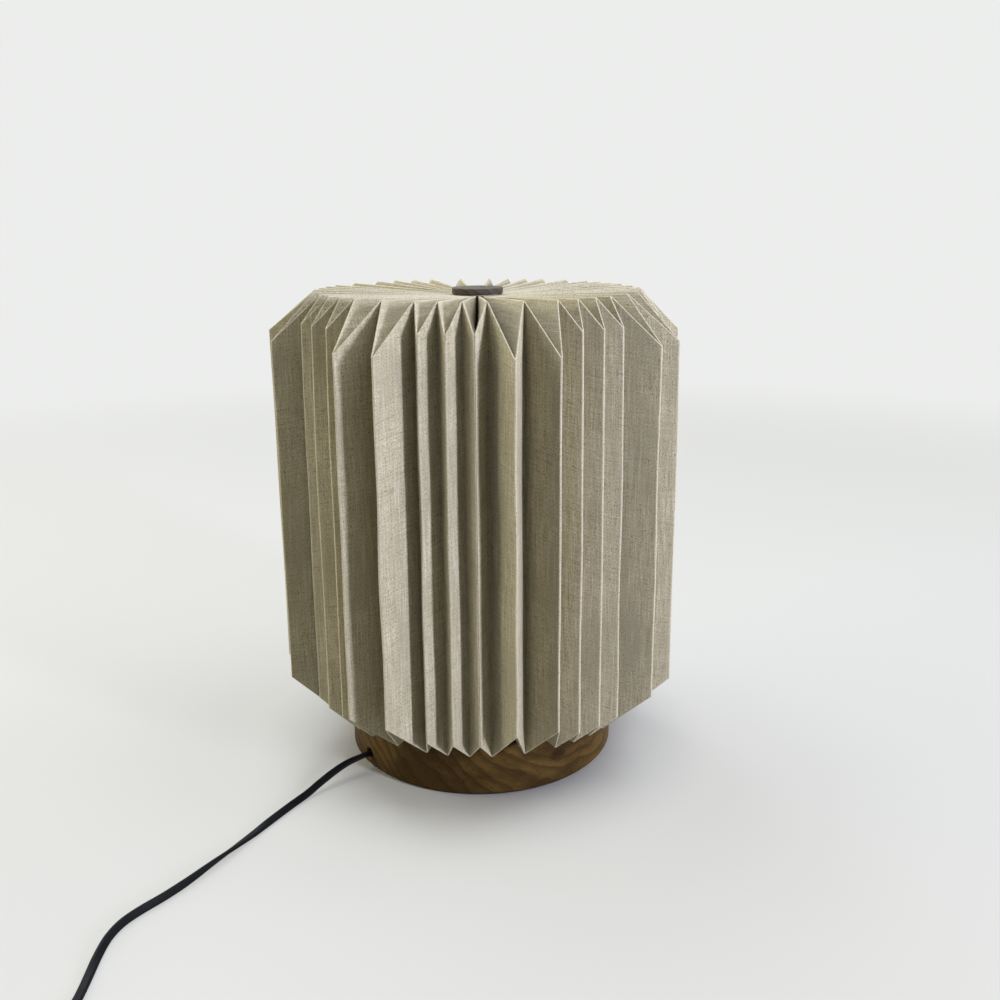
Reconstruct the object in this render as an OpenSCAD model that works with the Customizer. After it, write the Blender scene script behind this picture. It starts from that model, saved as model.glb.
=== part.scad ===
// Pleated paper table lamp: a linen-faced paper shade, reverse folded at both ends,
// on a turned wooden base, over a low-voltage light column with its lead, switch and plug.
// Millimetres. Z is up, the origin is the middle of the base on the table, -Y is the seam's side.

/* [Shade] */
// Radius of the circle that the inner folds stand on
fold_r = 85; // [72:0.5:95]
// How far a wide pleat stands out from the inner folds
wide_depth = 22.8; // [16:0.1:28]
// How far a narrow pleat stands out from the inner folds
narrow_depth = 10.3; // [7:0.1:13]
// Part of the circle that one wide pleat takes, in degrees
wide_arc = 11.3; // [10:0.1:12]
// Wide pleats in each group
wide_count = 2; // [1:1:3]
// Narrow pleats in each group
narrow_count = 3; // [2:1:3]
// Groups of pleats round the shade
group_count = 8; // [7:1:8]
// Height between the upper and lower ends of the inner folds
shade_h = 226.2; // [180:0.5:270]
// Height of the slanted crease that turns a wide pleat in, at the top and the bottom
wide_turn = 22; // [16:0.5:26]
// Height of the slanted crease that turns a narrow pleat in at the top
narrow_turn_top = 12.8; // [8:0.2:15]
// Height of the slanted crease that turns a narrow pleat in at the bottom
narrow_turn_bottom = 10.8; // [8:0.2:15]
// How far the top dips from the folds to the hub
crown_dip = 3; // [1:0.5:6]
// Radius of the opening that the lower flaps leave
mouth_r = 45; // [34:1:60]
// How far the pleats opposite the seam are drawn round by hand, in degrees
hand_drift = 7.2; // [0:0.1:9]
// Angle of the seam, seen from above
seam_angle = -91.1; // [-180:0.1:180]
// Thickness of the paper with its linen face
paper_t = 0.5; // [0.35:0.05:0.6]
// Width of the flat that the bone presses into each fold
fold_flat = 0.6; // [0.5:0.05:0.8]
// Thickness of the tape glued inside the seam
tape_t = 0.25; // [0.15:0.05:0.4]
// Width of each half of the seam tape
tape_w = 6; // [4:0.5:8]

/* [Base] */
// Radius of the wooden base
base_r = 75; // [68:1:90]
// Height of the base with its felt
base_h = 29.4; // [26:0.2:40]
// Radius of the base's upper edge
base_round = 2; // [0.5:0.5:4]
// Chamfer round the foot of the base
base_chamfer = 0.8; // [0.4:0.1:2]
// Thickness of the felt pad
felt_t = 1; // [0.8:0.1:3]
// How far the felt stands in from the edge of the base
felt_inset = 1.8; // [1:0.2:5]
// Radius of the wiring recess under the base
recess_r = 38; // [34:1:42]
// Height of the wiring recess above its cover
recess_h = 12; // [11:0.5:15]
// Width of the ledge that the bottom cover is screwed to
ledge_w = 8; // [7:0.5:12]
// Thickness of the bottom cover
cover_t = 1.6; // [1.2:0.1:3]
// Direction in which the cord leaves the base, in degrees
exit_angle = -146; // [-150:1:-142]
// Height of the cord hole above the table
exit_z = 7.5; // [7:0.1:9]
// Radius of the cord hole
exit_hole_r = 2.9; // [2.5:0.1:3.4]
// Chamfer at the mouth of the cord hole
exit_chamfer = 0.9; // [0.4:0.1:1.4]

/* [Light column] */
// Outer radius of the opal tube
tube_r = 17; // [15:0.5:22]
// Wall of the opal tube
tube_wall = 2; // [1.5:0.5:3]
// Outer radius of the threaded lamp pipe
pipe_r = 5; // [4.5:0.25:6]
// Wall of the lamp pipe
pipe_wall = 1; // [0.75:0.25:1.5]
// How far the foot plate and head plate stand out past the opal tube
plate_lip = 2; // [1:0.5:4]
// Thickness of the foot plate and head plate
plate_t = 3; // [2:0.5:5]
// Height of the boss that centres each end of the opal tube
boss_h = 6; // [4:0.5:10]
// Distance from the pipe's axis to each flat of the light bar
bar_flat = 7.4; // [7.2:0.1:8.5]
// Radius that the corners of the light bar are turned to
bar_r = 11; // [10.5:0.1:12]
// Width of a light strip
strip_w = 9; // [7:0.5:10]
// Thickness of a light strip's board
strip_t = 1.2; // [0.8:0.1:1.6]
// Space left at each end of a light strip
strip_end = 6; // [4:0.5:10]
// Distance between the light chips
chip_pitch = 14; // [10:1:24]
// Length of a light chip
chip_l = 3.5; // [2.8:0.1:5]
// Width of a light chip
chip_w = 2.8; // [2:0.1:3.5]
// Height of a light chip
chip_h = 0.8; // [0.6:0.1:1.2]
// Radius of the wire hole through the lamp pipe
wire_hole_r = 1.9; // [1.6:0.1:2.2]

/* [Nuts and screws] */
// Width of the lamp nuts across their flats
nut_af = 14; // [13:0.5:14.5]
// Thickness of the lamp nuts
nut_t = 3; // [2.5:0.5:3.5]
// Radius of the washer under the base
washer_r = 12; // [10:0.5:16]
// Thickness of the washer under the base
washer_t = 1.2; // [1:0.1:2]
// Number of screws that hold the bottom cover
cover_screw_count = 3; // [2:1:4]
// Radius of the wood screws
screw_r = 1.4; // [1.2:0.1:1.6]
// Radius of the wood screws' heads
screw_head_r = 2.6; // [2.3:0.1:3]
// Length of the cover screws
cover_screw_l = 9; // [7:0.5:12]

/* [Cap] */
// Radius of the wooden cap
cap_r = 13.5; // [12.5:0.5:18]
// Thickness of the wooden cap
cap_t = 3.2; // [3:0.1:6]
// Chamfer round the cap
cap_chamfer = 0.35; // [0.2:0.05:0.8]
// Length of the cap's spigot inside the lamp pipe
spigot_l = 12; // [8:1:18]
// Radius of the stud that holds the spigot in the cap
stud_r = 2; // [1.5:0.1:2.5]
// Length of the stud inside the cap
stud_l = 2; // [1.5:0.1:2.5]

/* [Cord] */
// Width of the flat cord
cord_w = 3.9; // [3.4:0.1:4.4]
// Thickness of the flat cord
cord_t = 2.2; // [1.8:0.1:2.6]
// Radius of a wire inside the lamp
wire_r = 0.6; // [0.4:0.05:0.7]
// Mean radius of the coil
coil_r = 23; // [20:0.5:26]
// Width of the coil's bundle of turns
coil_bundle_w = 9.6; // [8:0.2:12]
// Height of the coil's bundle of turns
coil_bundle_h = 8.4; // [7:0.2:11]
// Thickness of the tie round the coil
tie_t = 0.6; // [0.4:0.1:1]
// Width of the tie round the coil
tie_w = 6; // [4:0.5:10]

/* [Inline switch] */
// Length of the switch
switch_l = 52; // [48:1:60]
// Width of the switch
switch_w = 18; // [17:0.5:22]
// Height of the switch's housing
switch_h = 11; // [10.8:0.2:13]
// Corner radius of the switch, seen from above
switch_corner = 5; // [3:0.5:7]
// Height of the joint between the two shells
switch_split = 5; // [4.6:0.1:5.4]
// Wall of the switch's shells
switch_wall = 1.6; // [1.4:0.1:2]
// Chamfer round the top of the switch
switch_chamfer = 1.2; // [0.6:0.1:1.5]
// Length of the rocker
rocker_l = 12.4; // [10:0.2:14]
// Width of the rocker
rocker_w = 6.4; // [5:0.2:7]
// Height of the rocker's wings above its pin
rocker_rise = 3.7; // [3.2:0.1:4.2]
// Angle that the rocker is tilted each way
rocker_tilt = 8; // [5:0.5:9]
// Radius of the rocker's pin
pin_r = 0.8; // [0.6:0.05:1]

/* [Plug] */
// Length of the plug's grip
grip_l = 30; // [24:1:36]
// Width of the plug's grip
grip_w = 15.6; // [14:0.2:18]
// Thickness of the plug's grip
grip_t = 8; // [7.2:0.2:9]
// Edge radius of the plug's grip
grip_round = 1.6; // [1:0.1:2.4]
// Width of the plug's metal shell
shell_w = 12; // [11.8:0.1:12.2]
// Thickness of the plug's metal shell
shell_t = 4.5; // [4.4:0.1:4.6]
// Length of the shell in front of the grip
shell_l = 12; // [11:0.5:13]
// Length of the shell held inside the grip
shell_grip = 6; // [4:0.5:9]
// Sheet that the shell is folded from
shell_sheet = 0.4; // [0.3:0.05:0.5]
// Length of the plug's strain relief
relief_l = 11; // [8:1:16]
// Radius of the strain relief at the grip
relief_r = 3.4; // [3:0.1:3.7]

/* [Clearances] */
// Gap between pieces that move past each other and are not a running fit
rest_gap = 0.3; // [0.2:0.05:0.5]
// Radial clearance of the hub on the pipe, of the spigot in it and of the rocker on its pin
run_gap = 0.07; // [0.03:0.01:0.1]
// Clearance of a piece that is pushed over another or set into it
fit_gap = 0.1; // [0.05:0.01:0.2]

/* [Hidden] */

$fn = 96;
// Overshoot of a cut past the face it goes through
over = 1;

// Pattern of the pleats
group_size = wide_count + narrow_count;
pleat_count = group_count * group_size;
narrow_arc = (360 / group_count - wide_count * wide_arc) / narrow_count;
tightest_arc = narrow_arc * 0.92;
fold_shift = 0.5;
hub_air = 0.1;
hub_r = ((fold_flat + paper_t) / 2 + hub_air) / sin(tightest_arc / 2);

// Heights, from the table up
cover_top = felt_t + cover_t;
recess_roof = cover_top + recess_h;
shade_foot = base_h + rest_gap + fold_shift;
shade_top = shade_foot + shade_h;
hub_ridge_z = shade_top - crown_dip;
hub_lip = 0.5;
hub_top = hub_ridge_z + hub_lip;
wide_panel = panel_width(wide_depth, wide_arc);
hub_foot = hub_ridge_z - wide_panel - hub_lip;
head_top = hub_foot - rest_gap;
tube_top = head_top - plate_t;
tube_foot = base_h + plate_t;
foot_nut_z = tube_foot + boss_h;
bar_foot = foot_nut_z + nut_t;
bar_top = tube_top - boss_h;
pipe_end = 2;
pipe_foot = recess_roof - washer_t - nut_t - pipe_end;
cap_z = hub_top + rest_gap;

// Screws and nuts
nut_corner_r = nut_af / 2 / cos(30);
cover_r = recess_r + ledge_w;
cover_screw_ring = recess_r + ledge_w / 2;
screw_cone = screw_head_r - screw_r;
screw_spare = 0.5;

// Clamp that holds the lead inside the base
clamp_r = 31;
clamp_len = 8;
clamp_span = 19;
clamp_bar_t = 2;
clamp_screw_y = 6.2;
clamp_screw_grip = 6;
inner_lead_end = 25;

// Wire path, as distance along the exit direction and height
wire_path = [[24.9, 7.3], [17, 6.4], [9, 5.2], [3, 4.9], [0.9, 6.4], [0.5, 9.5], [0.3, 16],
    [0, 24], [0, 32], [-0.2, 38], [-0.9, 42], [-2.6, 44.2], [-5, 45], [-8, 45.2], [-10.4, 45.2]];
wire_apart = 1.7;
wire_hole_z = 45;
notch_w = 4.6;
notch_h = 7;

// The cord's route along the table, from the hole in the base to the switch
lead_route = [[-56.4, -38, 7.5], [-62.2, -41.9, 7.5], [-68, -46, 7.3], [-74, -50.7, 6.6], [-80, -56.8, 5.2],
    [-86, -64.2, 3.5], [-91.7, -72.4, 2.1], [-101.5, -88.1, 1.2], [-110.6, -103.3, 1.4],
    [-119, -118, 2], [-127, -131.7, 1.9], [-134.9, -144.9, 1.3], [-142.6, -155.7, 1.2],
    [-150.3, -165, 1.2], [-155.5, -173, 1.2], [-158.2, -182, 1.2], [-158.9, -192.4, 1.2],
    [-158.7, -203, 1.2], [-158.4, -213.8, 1.2], [-158.4, -222, 1.8], [-158.5, -230, 3.6],
    [-158.5, -236, 4.8], [-158.5, -243, 5]];
switch_place = [-158.5, -266, 0];
link_route = [[-158.5, -289, 5], [-158.5, -297, 5.2], [-158.6, -305, 5.8], [-158.6, -313, 6.6],
    [-158.5, -322, 6.9], [-158, -330, 6.9]];
coil_place = [-132, -335, 0];
tail_route = [[-106, -330, 2.8], [-105.5, -322, 2.8], [-105.4, -315, 3.2], [-105.4, -309, 3.8],
    [-105.5, -303, 4], [-105.5, -297, 4]];
plug_place = [-105.5, -295, 0];
cord_sides = 8;
hole_seat_r = norm([lead_route[0][0], lead_route[0][1]]);

// Seat of the plug's strain relief, and the shell's insulator
relief_root_r = relief_r * 0.8;
relief_root_l = 3;
tongue_t = 1.9;
tongue_wall = shell_sheet + fit_gap / 2;

// Inside the switch
switch_boss_r = 2.5;
boss_sink = 0.4;
screw_inset = 8;
screw_x = switch_l / 2 - screw_inset;
screw_y = switch_w / 2 - switch_wall - switch_boss_r + boss_sink;
switch_screw_r = 1;
switch_head_r = 1.9;
pin_depth = 2.8;
slot_end_gap = 0.8;
slot_side_gap = 0.4;
rocker_pin_z = switch_h - pin_depth;
rocker_slot_l = rocker_l + 2 * slot_end_gap;
rocker_slot_w = rocker_w + 2 * slot_side_gap;
lug_t = 1.6;
lug_l = 4.4;
rocker_pin_l = rocker_slot_w + 2 * lug_t;
switch_head_seat = 1.6;
cord_slot_gap = 0.15;

// Functions

function unit(v) = v / norm(v);

// True for a wide pleat. Pleat 0 is the narrow one that the seam splits.
function is_wide(k) = (k + group_size - 1) % group_size < wide_count;
function pleat_arc(k) = is_wide(k) ? wide_arc : narrow_arc;
function pleat_depth(k) = is_wide(k) ? wide_depth : narrow_depth;
function panel_width(depth, arc) =
    norm([fold_r + depth - fold_r * cos(arc / 2), fold_r * sin(arc / 2)]);

// Angle from the seam at which each pleat starts
pleat_start = [for (k = 0, a = -narrow_arc / 2; k <= pleat_count; a = a + pleat_arc(k), k = k + 1) a];

// A fold is [angle from the seam, pleat it tops or -1 for an inner fold]
shade_folds = [for (k = [0 : pleat_count - 1])
        each [[pleat_start[k] + pleat_arc(k) / 2, k], [pleat_start[k + 1], -1]],
    [360, 0]];

// The strip is glued up from lengths, one for each group of pleats, butted at narrow pleats' tops.
// Each length starts at the top of this pleat.
length_count = 8;
length_start = [for (i = [0 : length_count]) floor(i * pleat_count / length_count)];

// The shade is glued up by hand from the seam, so the far side ends up drawn round
function drawn_round(a) = a - hand_drift * pow((1 - cos(a)) / 2, 2);

// Half section of one fold line as [radius, height, shift of the face out, shift up, spread]
function inner_line() = [
    [hub_r, hub_ridge_z, 0, paper_t / 2, paper_t / 2],
    [fold_r, shade_top, fold_shift, fold_shift, 0],
    [fold_r, shade_foot, fold_shift, -fold_shift, 0],
    [mouth_r, shade_foot, 0, -paper_t / 2, paper_t / 2]];
function outer_line(k) =
    let (r = fold_r + pleat_depth(k),
        w = panel_width(pleat_depth(k), pleat_arc(k)),
        top_turn = is_wide(k) ? wide_turn : narrow_turn_top,
        foot_turn = is_wide(k) ? wide_turn : narrow_turn_bottom)
    [[hub_r, hub_ridge_z - w, 0, paper_t / 2, -paper_t / 2],
    [r, shade_top - top_turn, fold_shift, fold_shift, 0],
    [r, shade_foot + foot_turn, fold_shift, -fold_shift, 0],
    [mouth_r, shade_foot + w, 0, -paper_t / 2, -paper_t / 2]];

// The eight points of one edge of a fold's flat: four levels, each on the outer and inner face
function edge_points(fold, edge) =
    let (line = fold[1] < 0 ? inner_line() : outer_line(fold[1]),
        a = seam_angle + drawn_round(fold[0]),
        out = [cos(a), sin(a), 0],
        round = [-sin(a), cos(a), 0])
    [for (level = line) for (face = [1, -1])
        out * (level[0] + face * level[2]) + [0, 0, level[1] + face * level[3]]
        + round * edge * (fold_flat / 2 + face * level[4])];

// The strip's columns stand on the edges of the folds' flats, from the seam and back to it
pleat_columns = 4;
last_column = pleat_count * pleat_columns - 1;
function column_points(c) = edge_points(shade_folds[ceil(c / 2)], c % 2 == 0 ? 1 : -1);

function pan_head_h(head) = head * 0.6;

// Catmull-Rom curve through a route's own points
function knot(route, i) = route[max(0, min(i, len(route) - 1))];
function curve_at(a, b, c, d, t) =
    0.5 * (2 * b + (c - a) * t + (2 * a - 5 * b + 4 * c - d) * t * t + (3 * b - a - 3 * c + d) * t * t * t);
function smooth(route, steps) = [
    for (i = [0 : len(route) - 2]) for (s = [0 : steps - 1])
        curve_at(knot(route, i - 1), route[i], route[i + 1], knot(route, i + 2), s / steps),
    route[len(route) - 1]];
function heading(route, i) = unit(knot(route, i + 1) - knot(route, i - 1));

// Shared shapes

// A cord or wire swept along a route; up is the direction across its flat side
module swept_cord(route, width, thick, up = [0, 0, 1]) {
    rings = len(route);
    grow = 1 / cos(180 / cord_sides);
    points = [for (i = [0 : rings - 1])
        let (ahead = heading(route, i), side = unit(cross(up, ahead)), rise = cross(ahead, side))
        for (k = [0 : cord_sides - 1])
            let (a = 360 * (k + 0.5) / cord_sides)
            route[i] + side * cos(a) * width / 2 * grow + rise * sin(a) * thick / 2 * grow];
    walls = [for (i = [0 : rings - 2]) for (k = [0 : cord_sides - 1])
        let (a = i * cord_sides, b = a + cord_sides, n = (k + 1) % cord_sides)
        each [[a + k, b + k, b + n], [a + k, b + n, a + n]]];
    first = [for (k = [0 : cord_sides - 1]) k];
    last = [for (k = [cord_sides - 1 : -1 : 0]) (rings - 1) * cord_sides + k];
    polyhedron(points, concat([first, last], walls), convexity = 8);
}

module ring(outer, inner, height) {
    difference() {
        cylinder(r = outer, h = height);
        translate([0, 0, -over]) cylinder(r = inner, h = height + 2 * over);
    }
}

module lamp_nut() {
    difference() {
        cylinder(r = nut_corner_r, h = nut_t, $fn = 6);
        translate([0, 0, -over]) cylinder(r = pipe_r + fit_gap / 2, h = nut_t + 2 * over);
    }
}

// A countersunk wood screw with its head down, grown by a clearance to cut its hole
module wood_screw(length, grow = 0) {
    cylinder(r1 = screw_head_r + grow, r2 = screw_r + grow, h = screw_cone);
    cylinder(r = screw_r + grow, h = length);
    if (grow > 0) translate([0, 0, -over]) cylinder(r = screw_head_r + grow, h = over);
}

// A pan head screw with a cross slot in its head, head down
module pan_screw(length, shank, head) {
    head_h = pan_head_h(head);
    slot_w = head * 0.3;
    difference() {
        cylinder(r = head, h = head_h);
        for (turn = [0, 90]) rotate(turn) translate([-head * 0.6, -slot_w / 2, -over])
            cube([head * 1.2, slot_w, over + head_h / 2]);
    }
    translate([0, 0, head_h]) cylinder(r = shank, h = length);
}

module round_rect(l, w, r) {
    square([l - 2 * r, w], center = true);
    square([l, w - 2 * r], center = true);
    for (x = [-1, 1]) for (y = [-1, 1])
        translate([x * (l / 2 - r), y * (w / 2 - r)]) circle(r);
}

module at_cover_screws() {
    for (i = [0 : cover_screw_count - 1])
        rotate(exit_angle + 180 / cover_screw_count + i * 360 / cover_screw_count)
            translate([cover_screw_ring, 0, felt_t]) children();
}

module at_clamp() {
    rotate(exit_angle) translate([clamp_r, 0, 0]) children();
}

module at_switch() {
    translate(switch_place) rotate(-90) children();
}

module at_plug() {
    translate(plug_place + [0, 0, grip_t / 2]) rotate(90) children();
}

// Base

module base_disc() {
    color("#4a3524") difference() {
        translate([0, 0, felt_t]) rotate_extrude() {
            wood_h = base_h - felt_t;
            translate([0, base_chamfer]) square([base_r, wood_h - base_chamfer - base_round]);
            square([base_r - base_round, wood_h]);
            translate([base_r - base_round, wood_h - base_round]) circle(base_round);
            polygon([[0, 0], [base_r - base_chamfer, 0], [base_r, base_chamfer], [0, base_chamfer]]);
        }
        translate([0, 0, felt_t - over]) cylinder(r = recess_r, h = recess_roof - felt_t + over);
        translate([0, 0, felt_t - over]) cylinder(r = cover_r, h = cover_t + over);
        cylinder(r = pipe_r + fit_gap, h = base_h + over);
        rotate(exit_angle) translate([recess_r - over, 0, exit_z]) rotate([0, 90, 0]) {
            cylinder(r = exit_hole_r, h = base_r);
            translate([0, 0, base_r - recess_r + over - exit_chamfer])
                cylinder(r1 = exit_hole_r, r2 = exit_hole_r + 2 * exit_chamfer, h = 2 * exit_chamfer);
        }
        at_cover_screws() wood_screw(cover_screw_l + screw_spare, fit_gap / 2);
        at_clamp() for (y = [-1, 1]) translate([0, y * clamp_screw_y, recess_roof - over])
            cylinder(r = screw_r + fit_gap / 2, h = clamp_screw_grip + over + screw_spare);
    }
}

module felt_pad() {
    color("#2b2724") cylinder(r = base_r - felt_inset, h = felt_t);
}

module bottom_cover() {
    color("#1f1f20") difference() {
        translate([0, 0, felt_t]) cylinder(r = cover_r - fit_gap, h = cover_t);
        at_cover_screws() wood_screw(cover_screw_l, fit_gap);
    }
}

module cover_screws() {
    color("#9c9c98") at_cover_screws() wood_screw(cover_screw_l);
}

// The upper half of the lead's clamp, under the roof of the recess
module clamp_block() {
    color("#e6e2d8") at_clamp() difference() {
        translate([-clamp_len / 2, -clamp_span / 2, exit_z + cord_t / 2])
            cube([clamp_len, clamp_span, recess_roof - exit_z - cord_t / 2]);
        for (y = [-1, 1]) translate([0, y * clamp_screw_y, 0])
            cylinder(r = screw_r + fit_gap, h = recess_roof + over);
    }
}

// The lower half of the clamp, with a lip on each side of the flat cord
module clamp_bar() {
    lip_y = cord_w / 2 + fit_gap;
    color("#e6e2d8") at_clamp() difference() {
        union() {
            translate([-clamp_len / 2, -clamp_span / 2, exit_z - cord_t / 2 - clamp_bar_t])
                cube([clamp_len, clamp_span, clamp_bar_t]);
            for (y = [lip_y, -clamp_span / 2]) translate([-clamp_len / 2, y, exit_z - cord_t / 2])
                cube([clamp_len, clamp_span / 2 - lip_y, cord_t]);
        }
        for (y = [-1, 1]) translate([0, y * clamp_screw_y, 0])
            cylinder(r = screw_r + fit_gap, h = exit_z + cord_t);
    }
}

module clamp_screws() {
    head_h = 1.4;
    slot_w = 0.8;
    low = exit_z - cord_t / 2 - clamp_bar_t;
    color("#9c9c98") at_clamp() for (y = [-1, 1]) translate([0, y * clamp_screw_y, low - head_h]) {
        difference() {
            cylinder(r = screw_head_r, h = head_h);
            translate([-screw_head_r, -slot_w / 2, -over])
                cube([2 * screw_head_r, slot_w, over + head_h / 2]);
        }
        cylinder(r = screw_r, h = recess_roof + clamp_screw_grip - low + head_h);
    }
}

// Light column

module lamp_pipe() {
    color("#b8a468") difference() {
        translate([0, 0, pipe_foot]) ring(pipe_r, pipe_r - pipe_wall, hub_top - pipe_foot);
        rotate(exit_angle + 180) translate([0, 0, wire_hole_z]) rotate([0, 90, 0])
            cylinder(r = wire_hole_r, h = pipe_r + over);
    }
}

module lower_washer() {
    color("#a5a5a0") translate([0, 0, recess_roof - washer_t])
        ring(washer_r, pipe_r + fit_gap, washer_t);
}

module lower_nut() {
    color("#b8a468") translate([0, 0, recess_roof - washer_t - nut_t]) lamp_nut();
}

// A round plate with the boss that centres the opal tube; the boss points up
module tube_plate() {
    difference() {
        union() {
            cylinder(r = tube_r + plate_lip, h = plate_t);
            cylinder(r = tube_r - tube_wall - fit_gap, h = plate_t + boss_h);
        }
        translate([0, 0, -over])
            cylinder(r = pipe_r + fit_gap, h = plate_t + boss_h + 2 * over);
    }
}

module foot_plate() {
    color("#b9bcc0") translate([0, 0, base_h]) tube_plate();
}

module foot_nut() {
    color("#b8a468") translate([0, 0, foot_nut_z]) lamp_nut();
}

module head_plate() {
    color("#b9bcc0") translate([0, 0, head_top]) mirror([0, 0, 1]) tube_plate();
}

module head_nut() {
    color("#b8a468") translate([0, 0, head_top]) lamp_nut();
}

module opal_tube() {
    color("#eceae2") translate([0, 0, tube_foot]) ring(tube_r, tube_r - tube_wall, tube_top - tube_foot);
}

// Three flats round the pipe, one for each light strip, and a notch for the wires
module light_bar() {
    length = bar_top - bar_foot;
    color("#c3c6ca") rotate(exit_angle + 180) difference() {
        translate([0, 0, bar_foot]) intersection() {
            cylinder(r = bar_r, h = length);
            cylinder(r = 2 * bar_flat, h = length, $fn = 3);
        }
        translate([0, 0, bar_foot - over]) cylinder(r = pipe_r + fit_gap, h = length + 2 * over);
        translate([0, -notch_w / 2, bar_foot - over]) cube([bar_r + over, notch_w, notch_h + over]);
    }
}

// One board with its row of light chips, on the flat that faces the given way
module light_strip(i) {
    length = bar_top - bar_foot - 2 * strip_end;
    chips = floor((length - chip_l) / chip_pitch);
    first_chip = (length - chips * chip_pitch) / 2;
    rotate(exit_angle + 240 + 120 * i) translate([bar_flat, 0, bar_foot + strip_end]) {
        translate([0, -strip_w / 2, 0]) cube([strip_t, strip_w, length]);
        for (k = [0 : chips])
            translate([strip_t / 2, -chip_w / 2, first_chip + k * chip_pitch - chip_l / 2])
                cube([strip_t / 2 + chip_h, chip_w, chip_l]);
    }
}

module light_strip_1() { color("#f3efe0") light_strip(0); }
module light_strip_2() { color("#f3efe0") light_strip(1); }
module light_strip_3() { color("#f3efe0") light_strip(2); }

// Shade

// One length of the strip, folded out and in, with both its ends turned in by reverse folds.
// It butts the next length face to face; only the seam, between the last and the first, is open.
module shade_length(i) {
    levels = 4;
    stride = 2 * levels;
    first = length_start[i] * pleat_columns;
    last = min(length_start[i + 1] * pleat_columns, last_column) - first;
    sheet = [for (c = [0 : last - 1]) for (j = [0 : levels - 2]) for (face = [0, 1])
        let (a = c * stride + 2 * j + face, b = a + stride)
        each face == 0
            ? [[a, b, b + 2], [a, b + 2, a + 2]]
            : [[b, a, b + 2], [a, a + 2, b + 2]]];
    rims = [for (c = [0 : last - 1])
        let (a = c * stride, b = a + stride, e = a + stride - 2, f = e + stride)
        each [[b, a, a + 1], [b, a + 1, b + 1], [e, f, f + 1], [e, f + 1, e + 1]]];
    ends = [for (j = [0 : levels - 2])
        let (a = 2 * j, b = last * stride + 2 * j)
        each [[a, a + 2, a + 3], [a, a + 3, a + 1], [b, b + 3, b + 2], [b, b + 1, b + 3]]];
    polyhedron([for (c = [0 : last]) each column_points(first + c)], concat(sheet, rims, ends),
        convexity = 12);
}

module shade_length_1() { color("#b3aa92") shade_length(0); }
module shade_length_2() { color("#b3aa92") shade_length(1); }
module shade_length_3() { color("#b3aa92") shade_length(2); }
module shade_length_4() { color("#b3aa92") shade_length(3); }
module shade_length_5() { color("#b3aa92") shade_length(4); }
module shade_length_6() { color("#b3aa92") shade_length(5); }
module shade_length_7() { color("#b3aa92") shade_length(6); }
module shade_length_8() { color("#b3aa92") shade_length(7); }

// The bush that the pleats' inner ends are glued round; it turns on the lamp pipe
module shade_hub() {
    skirt_r = nut_corner_r + rest_gap + fit_gap;
    color("#d8d2c2") translate([0, 0, hub_foot]) difference() {
        cylinder(r = hub_r - fit_gap, h = hub_top - hub_foot);
        translate([0, 0, -over]) cylinder(r = pipe_r + run_gap, h = hub_top - hub_foot + 2 * over);
        translate([0, 0, -over]) cylinder(r = skirt_r, h = over + nut_t + 2 * rest_gap);
    }
}

// A folded paper tape inside the seam's fold
module seam_tape() {
    run = fold_r + narrow_depth - fold_r * cos(narrow_arc / 2);
    rise = fold_r * sin(narrow_arc / 2) - fold_flat;
    lean = atan2(rise, run);
    tip = fold_r + narrow_depth - fold_shift;
    near = tip - fit_gap / sin(lean);
    far = near - tape_t / sin(lean);
    leg = [-tape_w * cos(lean), tape_w * sin(lean)];
    low = shade_foot + narrow_turn_bottom + fold_shift;
    high = shade_top - narrow_turn_top - fold_shift;
    color("#cfc8b4") rotate(seam_angle) translate([0, 0, low]) linear_extrude(high - low)
        polygon([[near, fold_flat / 2], [near + leg[0], fold_flat / 2 + leg[1]],
            [far + leg[0], fold_flat / 2 + leg[1]], [far, fold_flat / 2],
            [far, -fold_flat / 2], [far + leg[0], -fold_flat / 2 - leg[1]],
            [near + leg[0], -fold_flat / 2 - leg[1]], [near, -fold_flat / 2]]);
}

// Cap

module cap_disc() {
    color("#4b3526") translate([0, 0, cap_z]) difference() {
        rotate_extrude() polygon([[0, 0], [cap_r - cap_chamfer, 0], [cap_r, cap_chamfer],
            [cap_r, cap_t - cap_chamfer], [cap_r - cap_chamfer, cap_t], [0, cap_t]]);
        translate([0, 0, -over]) cylinder(r = stud_r + fit_gap / 2, h = stud_l + fit_gap + over);
    }
}

module cap_spigot() {
    spigot_r = pipe_r - pipe_wall - run_gap;
    lead_in = 0.6;
    color("#b8a468") translate([0, 0, cap_z]) {
        cylinder(r = stud_r, h = stud_l);
        translate([0, 0, lead_in - spigot_l]) cylinder(r = spigot_r, h = spigot_l - lead_in);
        translate([0, 0, -spigot_l]) cylinder(r1 = spigot_r - lead_in, r2 = spigot_r, h = lead_in);
    }
}

// Cord, inside and outside the base

module inner_lead() {
    clamp_mouth = clamp_r + clamp_len / 2;
    spans = 3;
    radii = concat([for (i = [0 : spans]) hole_seat_r + (clamp_mouth - hole_seat_r) * i / spans],
        [clamp_r - clamp_len / 2, inner_lead_end]);
    route = [for (r = radii) [r * cos(exit_angle), r * sin(exit_angle), exit_z]];
    color("#17181a") swept_cord(route, cord_w, cord_t);
}

module inner_wires() {
    across = [-sin(exit_angle), cos(exit_angle), 0];
    route = [for (p = wire_path) [p[0] * cos(exit_angle), p[0] * sin(exit_angle), p[1]]];
    color("#7a2420") for (side = [-0.5, 0.5])
        swept_cord([for (p = route) p + across * side * wire_apart], 2 * wire_r, 2 * wire_r, across);
}

module cord_lead() {
    color("#17181a") swept_cord(smooth(lead_route, 2), cord_w, cord_t);
}

module cord_link() {
    color("#17181a") swept_cord(link_route, cord_w, cord_t);
}

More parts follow.
